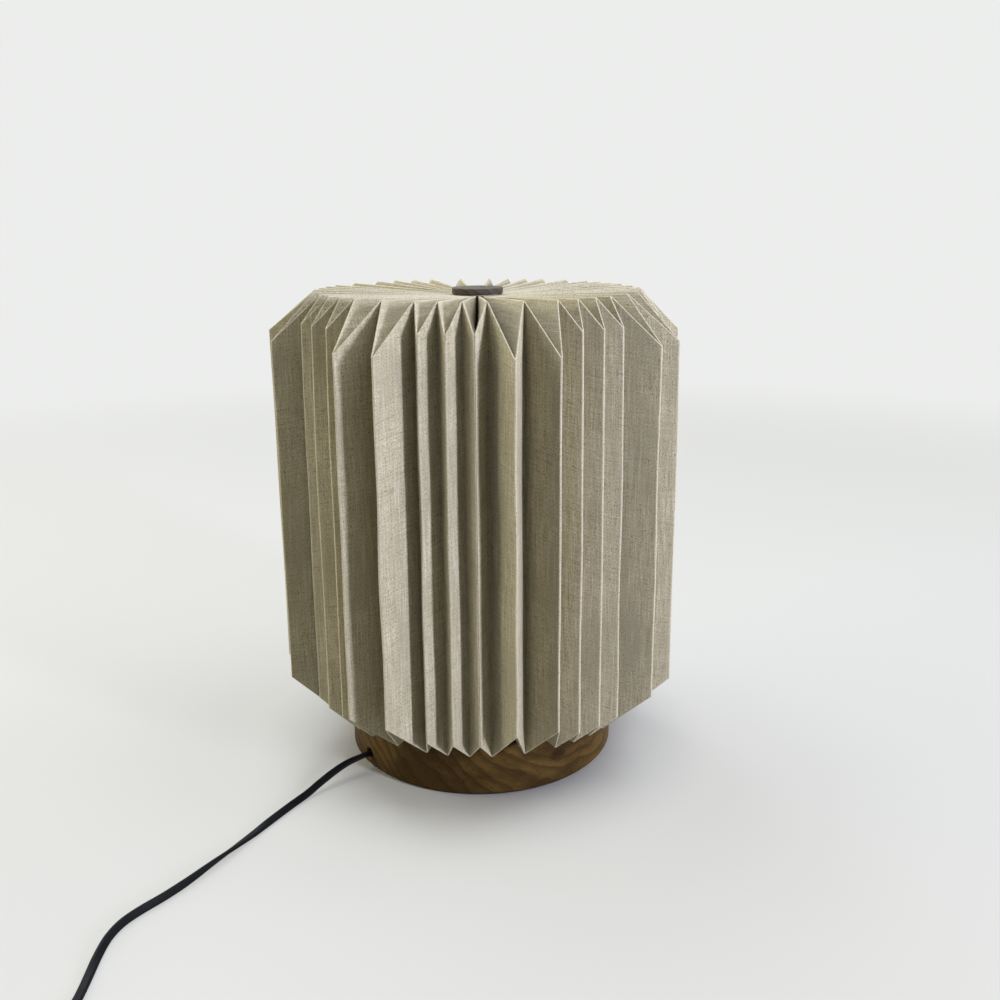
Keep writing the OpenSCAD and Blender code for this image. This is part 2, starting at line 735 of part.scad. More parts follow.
module cord_tail() {
    color("#17181a") swept_cord(tail_route, cord_w, cord_t);
}

module cord_coil() {
    corner = 2;
    color("#17181a") translate(coil_place + [0, 0, tie_t + fit_gap]) rotate_extrude()
        translate([coil_r, coil_bundle_h / 2]) round_rect(coil_bundle_w, coil_bundle_h, corner);
}

// A band closed round the coil's bundle
module coil_tie() {
    bulge = pow(tie_w, 2) / 8 / (coil_r - coil_bundle_w / 2);
    inner_w = coil_bundle_w + 2 * (bulge + fit_gap);
    inner_h = coil_bundle_h + 2 * fit_gap;
    corner = 2;
    color("#3a3a3c") translate(coil_place) rotate(-90) translate([coil_r, tie_w / 2, tie_t + inner_h / 2])
        rotate([90, 0, 0]) linear_extrude(tie_w) difference() {
            round_rect(inner_w + 2 * tie_t, inner_h + 2 * tie_t, corner);
            round_rect(inner_w, inner_h, corner);
        }
}

// Inline switch, lying along the cord

module at_switch_screws() {
    for (s = [-1, 1]) translate([s * screw_x, s * screw_y, 0]) children();
}

module cord_slots() {
    slot_w = cord_w + 2 * cord_slot_gap;
    slot_h = cord_t + 2 * cord_slot_gap;
    for (s = [-1, 1]) translate([s * switch_l / 2, 0, switch_split])
        cube([3 * switch_wall, slot_w, slot_h], center = true);
}

// Outline of the switch and of the space inside its wall
module switch_outline() {
    round_rect(switch_l, switch_w, switch_corner);
}

module switch_inside() {
    round_rect(switch_l - 2 * switch_wall, switch_w - 2 * switch_wall, switch_corner - switch_wall);
}

module switch_lower_shell() {
    boss_foot = switch_wall / 2;
    color("#1d1d1f") at_switch() difference() {
        union() {
            difference() {
                linear_extrude(switch_split) switch_outline();
                translate([0, 0, switch_wall]) linear_extrude(switch_split) switch_inside();
            }
            at_switch_screws() translate([0, 0, boss_foot])
                cylinder(r = switch_boss_r, h = switch_split - boss_foot);
        }
        at_switch_screws() translate([0, 0, -over]) {
            cylinder(r = switch_screw_r + fit_gap, h = switch_split + 2 * over);
            cylinder(r = switch_head_r + fit_gap, h = switch_head_seat + over);
        }
        cord_slots();
    }
}

// The upper half, with a chamfered top, the rocker's slot and a lug on each side for its pin
module switch_upper_shell() {
    depth = switch_h - switch_split;
    lug_y = (rocker_slot_w + lug_t) / 2;
    inside_h = depth - switch_wall;
    straight_h = depth - switch_chamfer;
    skin = 0.01;
    color("#1d1d1f") at_switch() difference() {
        union() {
            translate([0, 0, switch_split]) difference() {
                union() {
                    linear_extrude(straight_h) switch_outline();
                    translate([0, 0, straight_h]) hull($fn = 48) {
                        linear_extrude(skin) switch_outline();
                        translate([0, 0, switch_chamfer - skin]) linear_extrude(skin)
                            round_rect(switch_l - 2 * switch_chamfer, switch_w - 2 * switch_chamfer,
                                switch_corner - switch_chamfer);
                    }
                }
                translate([0, 0, -over]) linear_extrude(inside_h + over) switch_inside();
            }
            at_switch_screws() translate([0, 0, switch_split])
                cylinder(r = switch_boss_r, h = inside_h + switch_wall / 2);
            for (s = [-1, 1])
                translate([-lug_l / 2, s * lug_y - lug_t / 2, rocker_pin_z - lug_l / 2])
                    cube([lug_l, lug_t, switch_h - switch_wall / 2 - rocker_pin_z + lug_l / 2]);
        }
        translate([-rocker_slot_l / 2, -rocker_slot_w / 2, switch_split - over])
            cube([rocker_slot_l, rocker_slot_w, depth + 2 * over]);
        translate([0, 0, rocker_pin_z]) rotate([90, 0, 0])
            cylinder(r = pin_r + fit_gap / 2, h = rocker_pin_l + fit_gap, center = true);
        at_switch_screws() translate([0, 0, switch_split - over])
            cylinder(r = switch_screw_r + fit_gap / 2, h = inside_h + over);
        cord_slots();
    }
}

module switch_screws() {
    tip_space = 0.6;
    shank_l = switch_h - switch_wall - switch_head_seat - tip_space;
    color("#9c9c98") at_switch() at_switch_screws()
        translate([0, 0, switch_head_seat - pan_head_h(switch_head_r)])
            pan_screw(shank_l, switch_screw_r, switch_head_r);
}

// Two brass contacts, each a foot on the floor of the shell with a tab bent up
module switch_contacts() {
    foot_l = 7;
    foot_w = 4;
    sheet = 0.5;
    tab_h = 2.6;
    tab_x = 3;
    color("#c2a35a") at_switch() for (s = [-1, 1]) translate([s * tab_x, 0, switch_wall]) {
        translate([s > 0 ? 0 : -foot_l, -foot_w / 2, 0]) cube([foot_l, foot_w, sheet]);
        translate([s > 0 ? 0 : -sheet, -foot_w / 2, 0]) cube([sheet, foot_w, tab_h]);
    }
}

module rocker_pin() {
    color("#a5a5a0") at_switch() translate([0, 0, rocker_pin_z]) rotate([90, 0, 0])
        cylinder(r = pin_r, h = rocker_pin_l, center = true);
}

// Pressed down at the lamp's end; the top dips in the middle
module rocker() {
    half = rocker_l / 2;
    wing = 2.5;
    dish = 0.7;
    hub = 1.8;
    root = hub * 0.8;
    color("#26262a") at_switch() translate([0, 0, rocker_pin_z]) rotate([90, 0, 0]) rotate(rocker_tilt)
        difference() {
            union() {
                translate([0, 0, -rocker_w / 2]) linear_extrude(rocker_w)
                    polygon([[-half, rocker_rise - wing], [-half, rocker_rise],
                        [0, rocker_rise - dish], [half, rocker_rise],
                        [half, rocker_rise - wing], [root, -hub / 2], [-root, -hub / 2]]);
                cylinder(r = hub, h = rocker_w, center = true);
            }
            cylinder(r = pin_r + run_gap, h = rocker_w + 2 * over, center = true);
        }
}

// Plug, lying on the table with its shell pointing away from the coil

module plug_grip() {
    half_t = grip_t / 2 - grip_round;
    half_w = grip_w / 2 - grip_round;
    waist = 1;
    color("#17181a") at_plug() difference() {
        hull() {
            for (y = [-1, 1]) for (z = [-1, 1]) {
                translate([grip_round, y * (half_w - waist), z * half_t]) sphere(grip_round, $fn = 24);
                translate([grip_l / 2, y * half_w, z * half_t]) sphere(grip_round, $fn = 24);
                translate([grip_l - grip_round, y * half_w, z * half_t]) sphere(grip_round, $fn = 24);
            }
        }
        translate([grip_l - shell_grip, -shell_w / 2 - fit_gap, -shell_t / 2 - fit_gap])
            cube([shell_grip + over, shell_w + 2 * fit_gap, shell_t + 2 * fit_gap]);
        translate([-over, 0, 0]) rotate([0, 90, 0])
            cylinder(r = relief_root_r + fit_gap, h = relief_root_l + fit_gap + over);
    }
}

// A tapered relief with three grooves, and a root held in the grip
module plug_relief() {
    tip_r = relief_r - 0.7;
    groove = 1.2;
    groove_depth = 0.25;
    bore_r = cord_w / 2 + fit_gap;
    color("#17181a") at_plug() rotate([0, 90, 0]) difference() {
        union() {
            translate([0, 0, -relief_l]) cylinder(r1 = tip_r, r2 = relief_r, h = relief_l);
            cylinder(r = relief_root_r, h = relief_root_l);
        }
        for (i = [1 : 3]) translate([0, 0, -relief_l + i * 2 * groove])
            ring(relief_r + over, tip_r - groove_depth, groove);
        translate([0, 0, -relief_l - over]) cylinder(r = bore_r, h = relief_l + relief_root_l + 2 * over);
    }
}

module usb_shell() {
    window = 2.4;
    window_y = 3;
    window_x = grip_l + shell_l / 2;
    color("#c8cacc") at_plug() difference() {
        translate([grip_l - shell_grip, -shell_w / 2, -shell_t / 2])
            cube([shell_grip + shell_l, shell_w, shell_t]);
        translate([grip_l - shell_grip - over, shell_sheet - shell_w / 2, shell_sheet - shell_t / 2])
            cube([shell_grip + shell_l + 2 * over, shell_w - 2 * shell_sheet, shell_t - 2 * shell_sheet]);
        for (y = [-1, 1]) translate([window_x - window / 2, y * window_y - window / 2, -shell_t])
            cube([window, window, 2 * shell_t]);
    }
}

// The insulating block at the back of the shell and the tongue along its upper wall
module usb_tongue() {
    width = shell_w - 2 * tongue_wall;
    short = 0.8;
    color("#e9e7e0") at_plug() translate([grip_l - shell_grip, -width / 2, 0]) {
        translate([0, 0, tongue_wall - shell_t / 2])
            cube([shell_grip, width, shell_t - 2 * tongue_wall]);
        translate([0, 0, shell_t / 2 - tongue_wall - tongue_t])
            cube([shell_grip + shell_l - short, width, tongue_t]);
    }
}

// Four contacts under the tongue
module usb_contacts() {
    strip = [9, 1, 0.25];
    set_back = 0.6;
    inner_y = 1;
    outer_y = 3.5;
    color("#d9b45a") at_plug() for (y = [-outer_y, -inner_y, inner_y, outer_y])
        translate([grip_l + set_back, y - strip[1] / 2, shell_t / 2 - tongue_wall - tongue_t - strip[2]])
            cube(strip);
}

base_disc();
felt_pad();
bottom_cover();
cover_screws();
lamp_pipe();
lower_washer();
lower_nut();
foot_plate();
foot_nut();
light_bar();
light_strip_1();
light_strip_2();
light_strip_3();
opal_tube();
head_plate();
head_nut();
clamp_block();
clamp_bar();
clamp_screws();
inner_lead();
inner_wires();
shade_length_1();
shade_length_2();
shade_length_3();
shade_length_4();
shade_length_5();
shade_length_6();
shade_length_7();
shade_length_8();
shade_hub();
seam_tape();
cap_disc();
cap_spigot();
cord_lead();
switch_lower_shell();
switch_upper_shell();
switch_screws();
switch_contacts();
rocker();
rocker_pin();
cord_link();
cord_coil();
coil_tie();
cord_tail();
plug_relief();
plug_grip();
usb_shell();
usb_tongue();
usb_contacts();
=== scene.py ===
"""The looks of a pleated paper table lamp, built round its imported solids.

The shade's folded strip and the flat lead are meshes made here. Every other piece keeps its solid and gets
its finish. Sizes are in metres; patterns in the finishes are in millimetres.
"""

import functools
import logging
import math
from dataclasses import dataclass, field
from enum import Enum, IntEnum
from typing import ClassVar

import bpy
import numpy as np
from mathutils import Matrix, Vector


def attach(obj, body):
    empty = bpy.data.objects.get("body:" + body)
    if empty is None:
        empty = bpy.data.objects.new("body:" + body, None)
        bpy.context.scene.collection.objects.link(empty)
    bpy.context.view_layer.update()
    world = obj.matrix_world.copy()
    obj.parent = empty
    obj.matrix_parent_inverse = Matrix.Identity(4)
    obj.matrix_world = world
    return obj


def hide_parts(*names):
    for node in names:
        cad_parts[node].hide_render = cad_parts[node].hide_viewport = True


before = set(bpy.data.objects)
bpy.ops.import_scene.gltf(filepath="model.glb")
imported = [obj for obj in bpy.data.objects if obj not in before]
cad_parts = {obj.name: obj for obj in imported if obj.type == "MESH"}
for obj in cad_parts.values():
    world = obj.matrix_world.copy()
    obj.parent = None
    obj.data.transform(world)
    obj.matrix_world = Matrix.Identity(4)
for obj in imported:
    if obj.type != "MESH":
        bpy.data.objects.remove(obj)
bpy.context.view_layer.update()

LOG = logging.getLogger("lamp")
MM = 0.001
IMAGE_SIZE = 1000

Colour = tuple[float, float, float, float]
Point = tuple[float, float, float]
Socket = bpy.types.NodeSocket
Feed = Socket | float | Colour | Point


def rgb(red: float, green: float, blue: float) -> Colour:
    """A linear colour with full alpha."""
    return (red, green, blue, 1.0)


def shade_of(colour: Colour, factor: float) -> Colour:
    """The same colour, darker or lighter by a factor."""
    return rgb(*(factor * c for c in colour[:3]))


# Node trees


class ShaderTree:
    """A node tree, with short calls that add nodes to it and join them."""

    def __init__(self, tree: bpy.types.NodeTree) -> None:
        """Takes the tree that the nodes go into."""
        self.tree = tree

    def feed(self, socket: Socket, value: Feed) -> None:
        """Joins a socket to an input, or sets the input's own value.

        Args:
            socket: The input.
            value: The socket to join to it, or its new value.
        """
        if isinstance(value, bpy.types.NodeSocket):
            self.tree.links.new(value, socket)
        else:
            socket.default_value = value

    def add(
        self, kind: str, sockets: dict[str | int, Feed] | None = None, **settings: object
    ) -> bpy.types.Node:
        """Adds a node.

        Args:
            kind: The node's Blender type.
            sockets: Values or sockets for its inputs, by name or number.
            settings: The node's own settings.

        Returns:
            The new node.
        """
        node = self.tree.nodes.new(kind)
        for name, value in settings.items():
            setattr(node, name, value)
        for key, value in (sockets or {}).items():
            self.feed(node.inputs[key], value)
        return node

    def math(self, operation: str, a: Feed, b: Feed = 0.0, c: Feed = 0.0) -> Socket:
        """One Math node's result."""
        return self.add("ShaderNodeMath", {0: a, 1: b, 2: c}, operation=operation).outputs[0]

    def times(self, a: Feed, b: Feed) -> Socket:
        """The product of two values."""
        return self.math("MULTIPLY", a, b)

    def plus(self, a: Feed, b: Feed) -> Socket:
        """The sum of two values."""
        return self.math("ADD", a, b)

    def most(self, *values: Feed) -> Socket:
        """The greatest of several values.

        Args:
            values: The values to compare.

        Returns:
            The socket that holds the greatest.
        """
        result = values[0]
        for value in values[1:]:
            result = self.math("MAXIMUM", result, value)
        return result

    def band(self, value: Feed, low: float, high: float, start: Feed = 0.0, end: Feed = 1.0) -> Socket:
        """A smooth step from start to end while value goes from low to high."""
        sockets = {"Value": value, "From Min": low, "From Max": high, "To Min": start, "To Max": end}
        return self.add("ShaderNodeMapRange", sockets, interpolation_type="SMOOTHSTEP").outputs["Result"]

    def mix(self, factor: Feed, a: Feed, b: Feed) -> Socket:
        """Two colours mixed by a factor."""
        return self.add("ShaderNodeMix", {0: factor, 6: a, 7: b}, data_type="RGBA").outputs[2]

    def split(self, vector: Feed) -> tuple[Socket, Socket, Socket]:
        """A vector's three parts."""
        node = self.add("ShaderNodeSeparateXYZ", {0: vector})
        return node.outputs[0], node.outputs[1], node.outputs[2]

    def join(self, x: Feed, y: Feed, z: Feed = 0.0) -> Socket:
        """A vector from three parts."""
        return self.add("ShaderNodeCombineXYZ", {0: x, 1: y, 2: z}).outputs[0]

    def scaled(self, vector: Feed, factors: Feed) -> Socket:
        """A vector stretched along its three axes."""
        return self.add("ShaderNodeVectorMath", {0: vector, 1: factors}, operation="MULTIPLY").outputs[0]

    def moved(self, vector: Feed, offset: Feed) -> Socket:
        """A vector with another added to it."""
        return self.add("ShaderNodeVectorMath", {0: vector, 1: offset}, operation="ADD").outputs[0]

    def dot(self, vector: Feed, other: Feed) -> Socket:
        """The dot product of two vectors."""
        sockets = {0: vector, 1: other}
        return self.add("ShaderNodeVectorMath", sockets, operation="DOT_PRODUCT").outputs["Value"]

    def length(self, vector: Feed) -> Socket:
        """The length of a vector."""
        return self.add("ShaderNodeVectorMath", {0: vector}, operation="LENGTH").outputs["Value"]

    def noise(self, vector: Feed, scale: Feed = 1.0, detail: float = 2.0, rough: float = 0.5) -> Socket:
        """Smooth noise from 0 to 1."""
        sockets = {"Vector": vector, "Scale": scale, "Detail": detail, "Roughness": rough}
        return self.add("ShaderNodeTexNoise", sockets).outputs[0]

    def effect(self, group: bpy.types.NodeTree, **sockets: Feed) -> bpy.types.Node:
        """Places a shared node group, with its inputs by name."""
        return self.add("ShaderNodeGroup", sockets, node_tree=group)


class EffectTree(ShaderTree):
    """A shared shader node group: its tree, inputs and outputs."""

    def __init__(self, name: str, inputs: dict[str, Feed], outputs: tuple[str, ...]) -> None:
        """Makes the group.

        Args:
            name: The group's name.
            inputs: Each input's name and default; a default of three numbers makes a vector.
            outputs: The names of its outputs, all of them values.
        """
        super().__init__(bpy.data.node_groups.new(name, "ShaderNodeTree"))
        for socket_name, default in inputs.items():
            kind = "NodeSocketVector" if isinstance(default, tuple) else "NodeSocketFloat"
            socket = self.tree.interface.new_socket(socket_name, in_out="INPUT", socket_type=kind)
            socket.default_value = default
        for socket_name in outputs:
            self.tree.interface.new_socket(socket_name, in_out="OUTPUT", socket_type="NodeSocketFloat")
        self.given = self.add("NodeGroupInput").outputs
        self.result = self.add("NodeGroupOutput").inputs

    def give(self, **values: Feed) -> bpy.types.NodeTree:
        """Joins the results to the group's outputs.

        Args:
            values: Each output's result, by name.

        Returns:
            The finished group.
        """
        for name, value in values.items():
            self.feed(self.result[name], value)
        return self.tree


class Surface(ShaderTree):
    """A new material: one Principled shader and the nodes that feed it."""

    def __init__(self, name: str, **constants: float | Colour) -> None:
        """Makes the material.

        Args:
            name: The material's name.
            constants: Values for the shader's own sockets, with _ for a space in a socket's name.
        """
        self.material = bpy.data.materials.new(name)
        self.material.use_nodes = True
        super().__init__(self.material.node_tree)
        self.shader = self.tree.nodes["Principled BSDF"]
        for key, value in constants.items():
            self.paint(key.replace("_", " "), value)

    def paint(self, socket: str, value: Feed) -> None:
        """Sets or feeds one of the shader's sockets."""
        self.feed(self.shader.inputs[socket], value)

    def place(self) -> Socket:
        """The point on the piece, in millimetres in the lamp's frame."""
        point = self.add("ShaderNodeTexCoord").outputs["Object"]
        return self.scaled(point, (1 / MM, 1 / MM, 1 / MM))

    def emboss(self, height: Feed, depth: float, strength: float = 1.0) -> None:
        """Raises the surface by a height from 0 to 1 times depth, in millimetres."""
        sockets = {"Height": height, "Distance": depth * MM, "Strength": strength}
        self.paint("Normal", self.add("ShaderNodeBump", sockets).outputs["Normal"])


def dress(material: bpy.types.Material, *nodes: str) -> None:
    """Gives some of the frame's nodes a finish.

    Args:
        material: The finish.
        nodes: The nodes' names.
    """
    for name in nodes:
        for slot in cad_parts[name].material_slots:
            slot.material = material


# Effects that several finishes share


@functools.cache
def plain_weave() -> bpy.types.NodeTree:
    """Linen's plain weave, with uneven threads, slubs and dark specks.

    Returns:
        The group, with each thread's tone, the slubs and the cloth's height.
    """
    tree = EffectTree("plain_weave", {"Vector": (0.0, 0.0, 0.0), "Pitch": 0.5}, ("Tone", "Slub", "Height"))
    x, y, _ = tree.split(tree.given["Vector"])
    wander = tree.times(tree.noise(tree.given["Vector"], 0.09), 1.6)
    across = tree.plus(tree.math("DIVIDE", x, tree.given["Pitch"]), wander)
    along = tree.plus(tree.math("DIVIDE", y, tree.given["Pitch"]), wander)
    warp, weft = tree.math("FLOOR", across), tree.math("FLOOR", along)
    over = tree.math("FLOORED_MODULO", tree.plus(warp, weft), 2.0)
    warp_hump = tree.math("SINE", tree.times(tree.math("FRACT", across), math.pi))
    weft_hump = tree.math("SINE", tree.times(tree.math("FRACT", along), math.pi))
    warp_height = tree.times(warp_hump, tree.math("MULTIPLY_ADD", over, 0.45, 0.55))
    weft_height = tree.times(weft_hump, tree.math("MULTIPLY_ADD", over, -0.45, 1.0))
    height = tree.most(warp_height, weft_height)
    warp_tone = tree.noise(tree.join(tree.times(warp, 5.17), tree.times(along, 0.03)), detail=1.0)
    weft_tone = tree.noise(tree.join(tree.times(across, 0.03), tree.times(weft, 5.17), 7.0), detail=1.0)
    threads = tree.plus(tree.times(warp_tone, 0.6), tree.times(weft_tone, 0.4))
    weft_place = tree.join(tree.times(across, 0.045), tree.times(along, 0.55), 3.0)
    weft_slub = tree.band(tree.noise(weft_place), 0.62, 0.7)
    warp_place = tree.join(tree.times(across, 0.6), tree.times(along, 0.035), 11.0)
    warp_slub = tree.band(tree.noise(warp_place), 0.62, 0.72)
    speck_place = tree.join(tree.times(across, 0.55), tree.times(along, 0.45), 5.0)
    speck = tree.band(tree.noise(speck_place, detail=1.0), 0.6, 0.72)
    faint = tree.times(tree.most(weft_slub, tree.times(warp_slub, 0.6)), 0.6)
    return tree.give(Tone=threads, Slub=tree.most(faint, speck), Height=height)


@functools.cache
def rubbed_edges() -> bpy.types.NodeTree:
    """A mask that is 1 along a piece's outer edges and 0 elsewhere, with worn gaps.

    Returns:
        The group, with its mask.
    """
    tree = EffectTree("rubbed_edges", {"Vector": (0.0, 0.0, 0.0), "Width": 0.5}, ("Mask",))
    bevel = tree.add("ShaderNodeBevel", {"Radius": tree.times(tree.given["Width"], MM)}, samples=6)
    true_normal = tree.add("ShaderNodeNewGeometry").outputs["Normal"]
    turn = tree.band(tree.dot(bevel.outputs[0], true_normal), 0.995, 0.88)
    patches = tree.band(tree.noise(tree.given["Vector"], 0.35, 3.0), 0.3, 0.62)
    return tree.give(Mask=tree.times(turn, tree.math("MULTIPLY_ADD", patches, 0.7, 0.3)))


@functools.cache
def wood_grain() -> bpy.types.NodeTree:
    """Growth rings, fibres and pores round a pith line, for wood cut at a slant.

    Returns:
        The group, with the rings, the fibres and the pores.
    """
    inputs = {"Vector": (0.0, 0.0, 0.0), "Spacing": 5.0, "Pith": 70.0}
    tree = EffectTree("wood_grain", inputs, ("Ring", "Fibre", "Pore"))
    fibre_way, side_way = (0.85, 0.17, -0.5), (-0.147, 0.985, 0.085)
    ring_way = (0.507, 0.0, 0.862)
    point = tree.given["Vector"]
    along, side, rise = tree.dot(point, fibre_way), tree.dot(point, side_way), tree.dot(point, ring_way)
    slow = tree.join(tree.times(along, 0.016), tree.times(side, 0.03), tree.times(rise, 0.03))
    waver = tree.times(tree.noise(slow, detail=3.0), 26.0)
    rise_from_pith = tree.plus(rise, tree.given["Pith"])
    radius = tree.math("SQRT", tree.plus(tree.times(side, side), tree.times(rise_from_pith, rise_from_pith)))
    turns = tree.math("DIVIDE", tree.plus(radius, waver), tree.given["Spacing"])
    phase = tree.math("FRACT", turns)
    ring = tree.times(tree.band(phase, 0.25, 0.9), tree.band(phase, 1.0, 0.93))
    fine = tree.join(tree.times(along, 0.05), tree.times(side, 1.3), tree.times(rise, 1.3))
    fibre = tree.noise(fine, detail=5.0, rough=0.65)
    thin = tree.join(tree.times(along, 0.22), tree.times(side, 2.6), tree.times(rise, 2.6))
    pore = tree.band(tree.noise(thin, detail=1.0), 0.62, 0.7)
    return tree.give(Ring=ring, Fibre=fibre, Pore=pore)


@functools.cache
def handled() -> bpy.types.NodeTree:
    """Faint dust and finger marks: a slow cloud, and fine specks on top of it.

    Returns:
        The group, with the cloud and the specks.
    """
    tree = EffectTree("handled", {"Vector": (0.0, 0.0, 0.0)}, ("Cloud", "Speck"))
    cloud = tree.band(tree.noise(tree.given["Vector"], 0.07, 4.0, 0.6), 0.35, 0.7)
    speck = tree.band(tree.noise(tree.given["Vector"], 2.4, 1.0), 0.7, 0.78)
    return tree.give(Cloud=cloud, Speck=speck)


@functools.cache
def tool_marks() -> bpy.types.NodeTree:
    """Fine marks that a tool leaves in metal, stretched along one way.

    Returns:
        The group, with the marks' height.
    """
    inputs = {"Vector": (0.0, 0.0, 0.0), "Stretch": (1.0, 1.0, 1.0)}
    tree = EffectTree("tool_marks", inputs, ("Height",))
    lines = tree.scaled(tree.given["Vector"], tree.given["Stretch"])
    return tree.give(Height=tree.noise(lines, 1.0, 4.0, 0.7))


# Finishes


STEEL = rgb(0.62, 0.62, 0.6)
BRASS = rgb(0.72, 0.58, 0.32)
NYLON = rgb(0.82, 0.79, 0.72)
CASE_BLACK = rgb(0.012, 0.012, 0.013)
BOARD_BLACK = rgb(0.03, 0.03, 0.032)


class Marks(Enum):
    """The way that the tool marks run on a metal piece, as a stretch of the pattern's axes."""

    DRAWN = (9.0, 9.0, 0.15)
    TURNED = (0.6, 0.6, 12.0)
    ROLLED = (8.0, 0.2, 8.0)


@dataclass(frozen=True)
class Linen:
    """Linen cloth on a paper back, paler along its folds and creases: partly rubbed wear, partly painted
    highlight.
    """

    thread: Colour = rgb(0.47, 0.42, 0.28)
    pale_thread: Colour = rgb(0.62, 0.565, 0.42)
    dark_thread: Colour = rgb(0.33, 0.285, 0.175)
    slub: Colour = rgb(0.19, 0.155, 0.085)
    fleck: Colour = rgb(0.74, 0.70, 0.58)
    # Colour of the pale folds: partly rubbed wear, partly painted highlight.
    crest_wear_and_highlight: Colour = rgb(0.54, 0.485, 0.35)
    pitch: float = 0.5

    def material(self) -> bpy.types.Material:
        """The shade's outer face.

        Returns:
            The material.
        """
        made = Surface("linen", Roughness=0.92, Specular_IOR_Level=0.2)
        cloth = made.add("ShaderNodeAttribute", attribute_name=PleatedShade.CLOTH).outputs["Vector"]
        crest_wear_and_highlight = made.add("ShaderNodeAttribute", attribute_name=PleatedShade.CREST_WEAR_AND_HIGHLIGHT).outputs["Fac"]
        weave = made.effect(plain_weave(), Vector=cloth, Pitch=self.pitch).outputs
        dark = made.mix(made.band(weave["Tone"], 0.5, 0.32), self.thread, self.dark_thread)
        threads = made.mix(made.band(weave["Tone"], 0.52, 0.68), dark, self.pale_thread)
        # Painted shade: the low gaps between the threads are darkened.
        gaps = made.mix(made.band(weave["Height"], 0.5, 0.1, 0.0, 0.5), threads, self.dark_thread)
        specks = made.mix(made.times(weave["Slub"], 0.85), gaps, self.slub)
        stain = made.noise(made.scaled(cloth, (0.06, 0.02, 1.0)), 1.0, 3.0)
        stained = made.mix(made.band(stain, 0.42, 0.7, 0.0, 0.8), specks, shade_of(self.thread, 0.8))
        streak = made.noise(made.scaled(cloth, (0.9, 0.03, 1.0)), 1.0, 2.0)
        streaked = made.mix(made.band(streak, 0.5, 0.7, 0.0, 0.45), stained, self.pale_thread)
        worn = made.band(made.noise(cloth, 1.1, 3.0), 0.35, 0.62, 0.15, 1.0)
        grit = made.noise(cloth, 1.5, 2.0, 0.7)
        # Dark specks where the grit relief is low and pale flecks where it is high: partly real specks and
        # nubs, partly painted shade and highlight of that relief.
        specks_and_pit_shade = made.mix(made.band(grit, 0.49, 0.36, 0.0, 0.5), streaked, self.slub)
        flecks_and_top_highlight = made.mix(made.band(grit, 0.54, 0.68, 0.0, 0.3), specks_and_pit_shade, self.fleck)
        # Folds and creases mixed towards the pale colour: partly rubbed wear, partly painted highlight.
        made.paint("Base Color", made.mix(made.times(crest_wear_and_highlight, worn), flecks_and_top_highlight, self.crest_wear_and_highlight))
        relief = made.plus(made.times(weave["Height"], 0.5), made.times(grit, 1.25))
        made.emboss(made.plus(relief, made.times(weave["Slub"], 0.8)), 0.2, 0.8)
        return made.material


@dataclass(frozen=True)
class Paper:
    """Plain paper: the shade's back face, or the tape in its seam."""

    name: str
    colour: Colour

    def material(self) -> bpy.types.Material:
        """The paper, with its fibres and faint cockle.

        Returns:
            The material.
        """
        made = Surface(self.name, Roughness=0.9, Specular_IOR_Level=0.2)
        place = made.place()
        fibres = made.noise(made.scaled(place, (2.2, 2.2, 0.7)), 1.0, 4.0, 0.7)
        cockle = made.noise(place, 0.08, 2.0)
        tone = made.mix(made.band(fibres, 0.4, 0.7), self.colour, shade_of(self.colour, 0.88))
        made.paint("Base Color", made.mix(made.band(cockle, 0.4, 0.8), tone, shade_of(self.colour, 0.93)))
        made.emboss(made.plus(fibres, cockle), 0.1, 0.5)
        return made.material


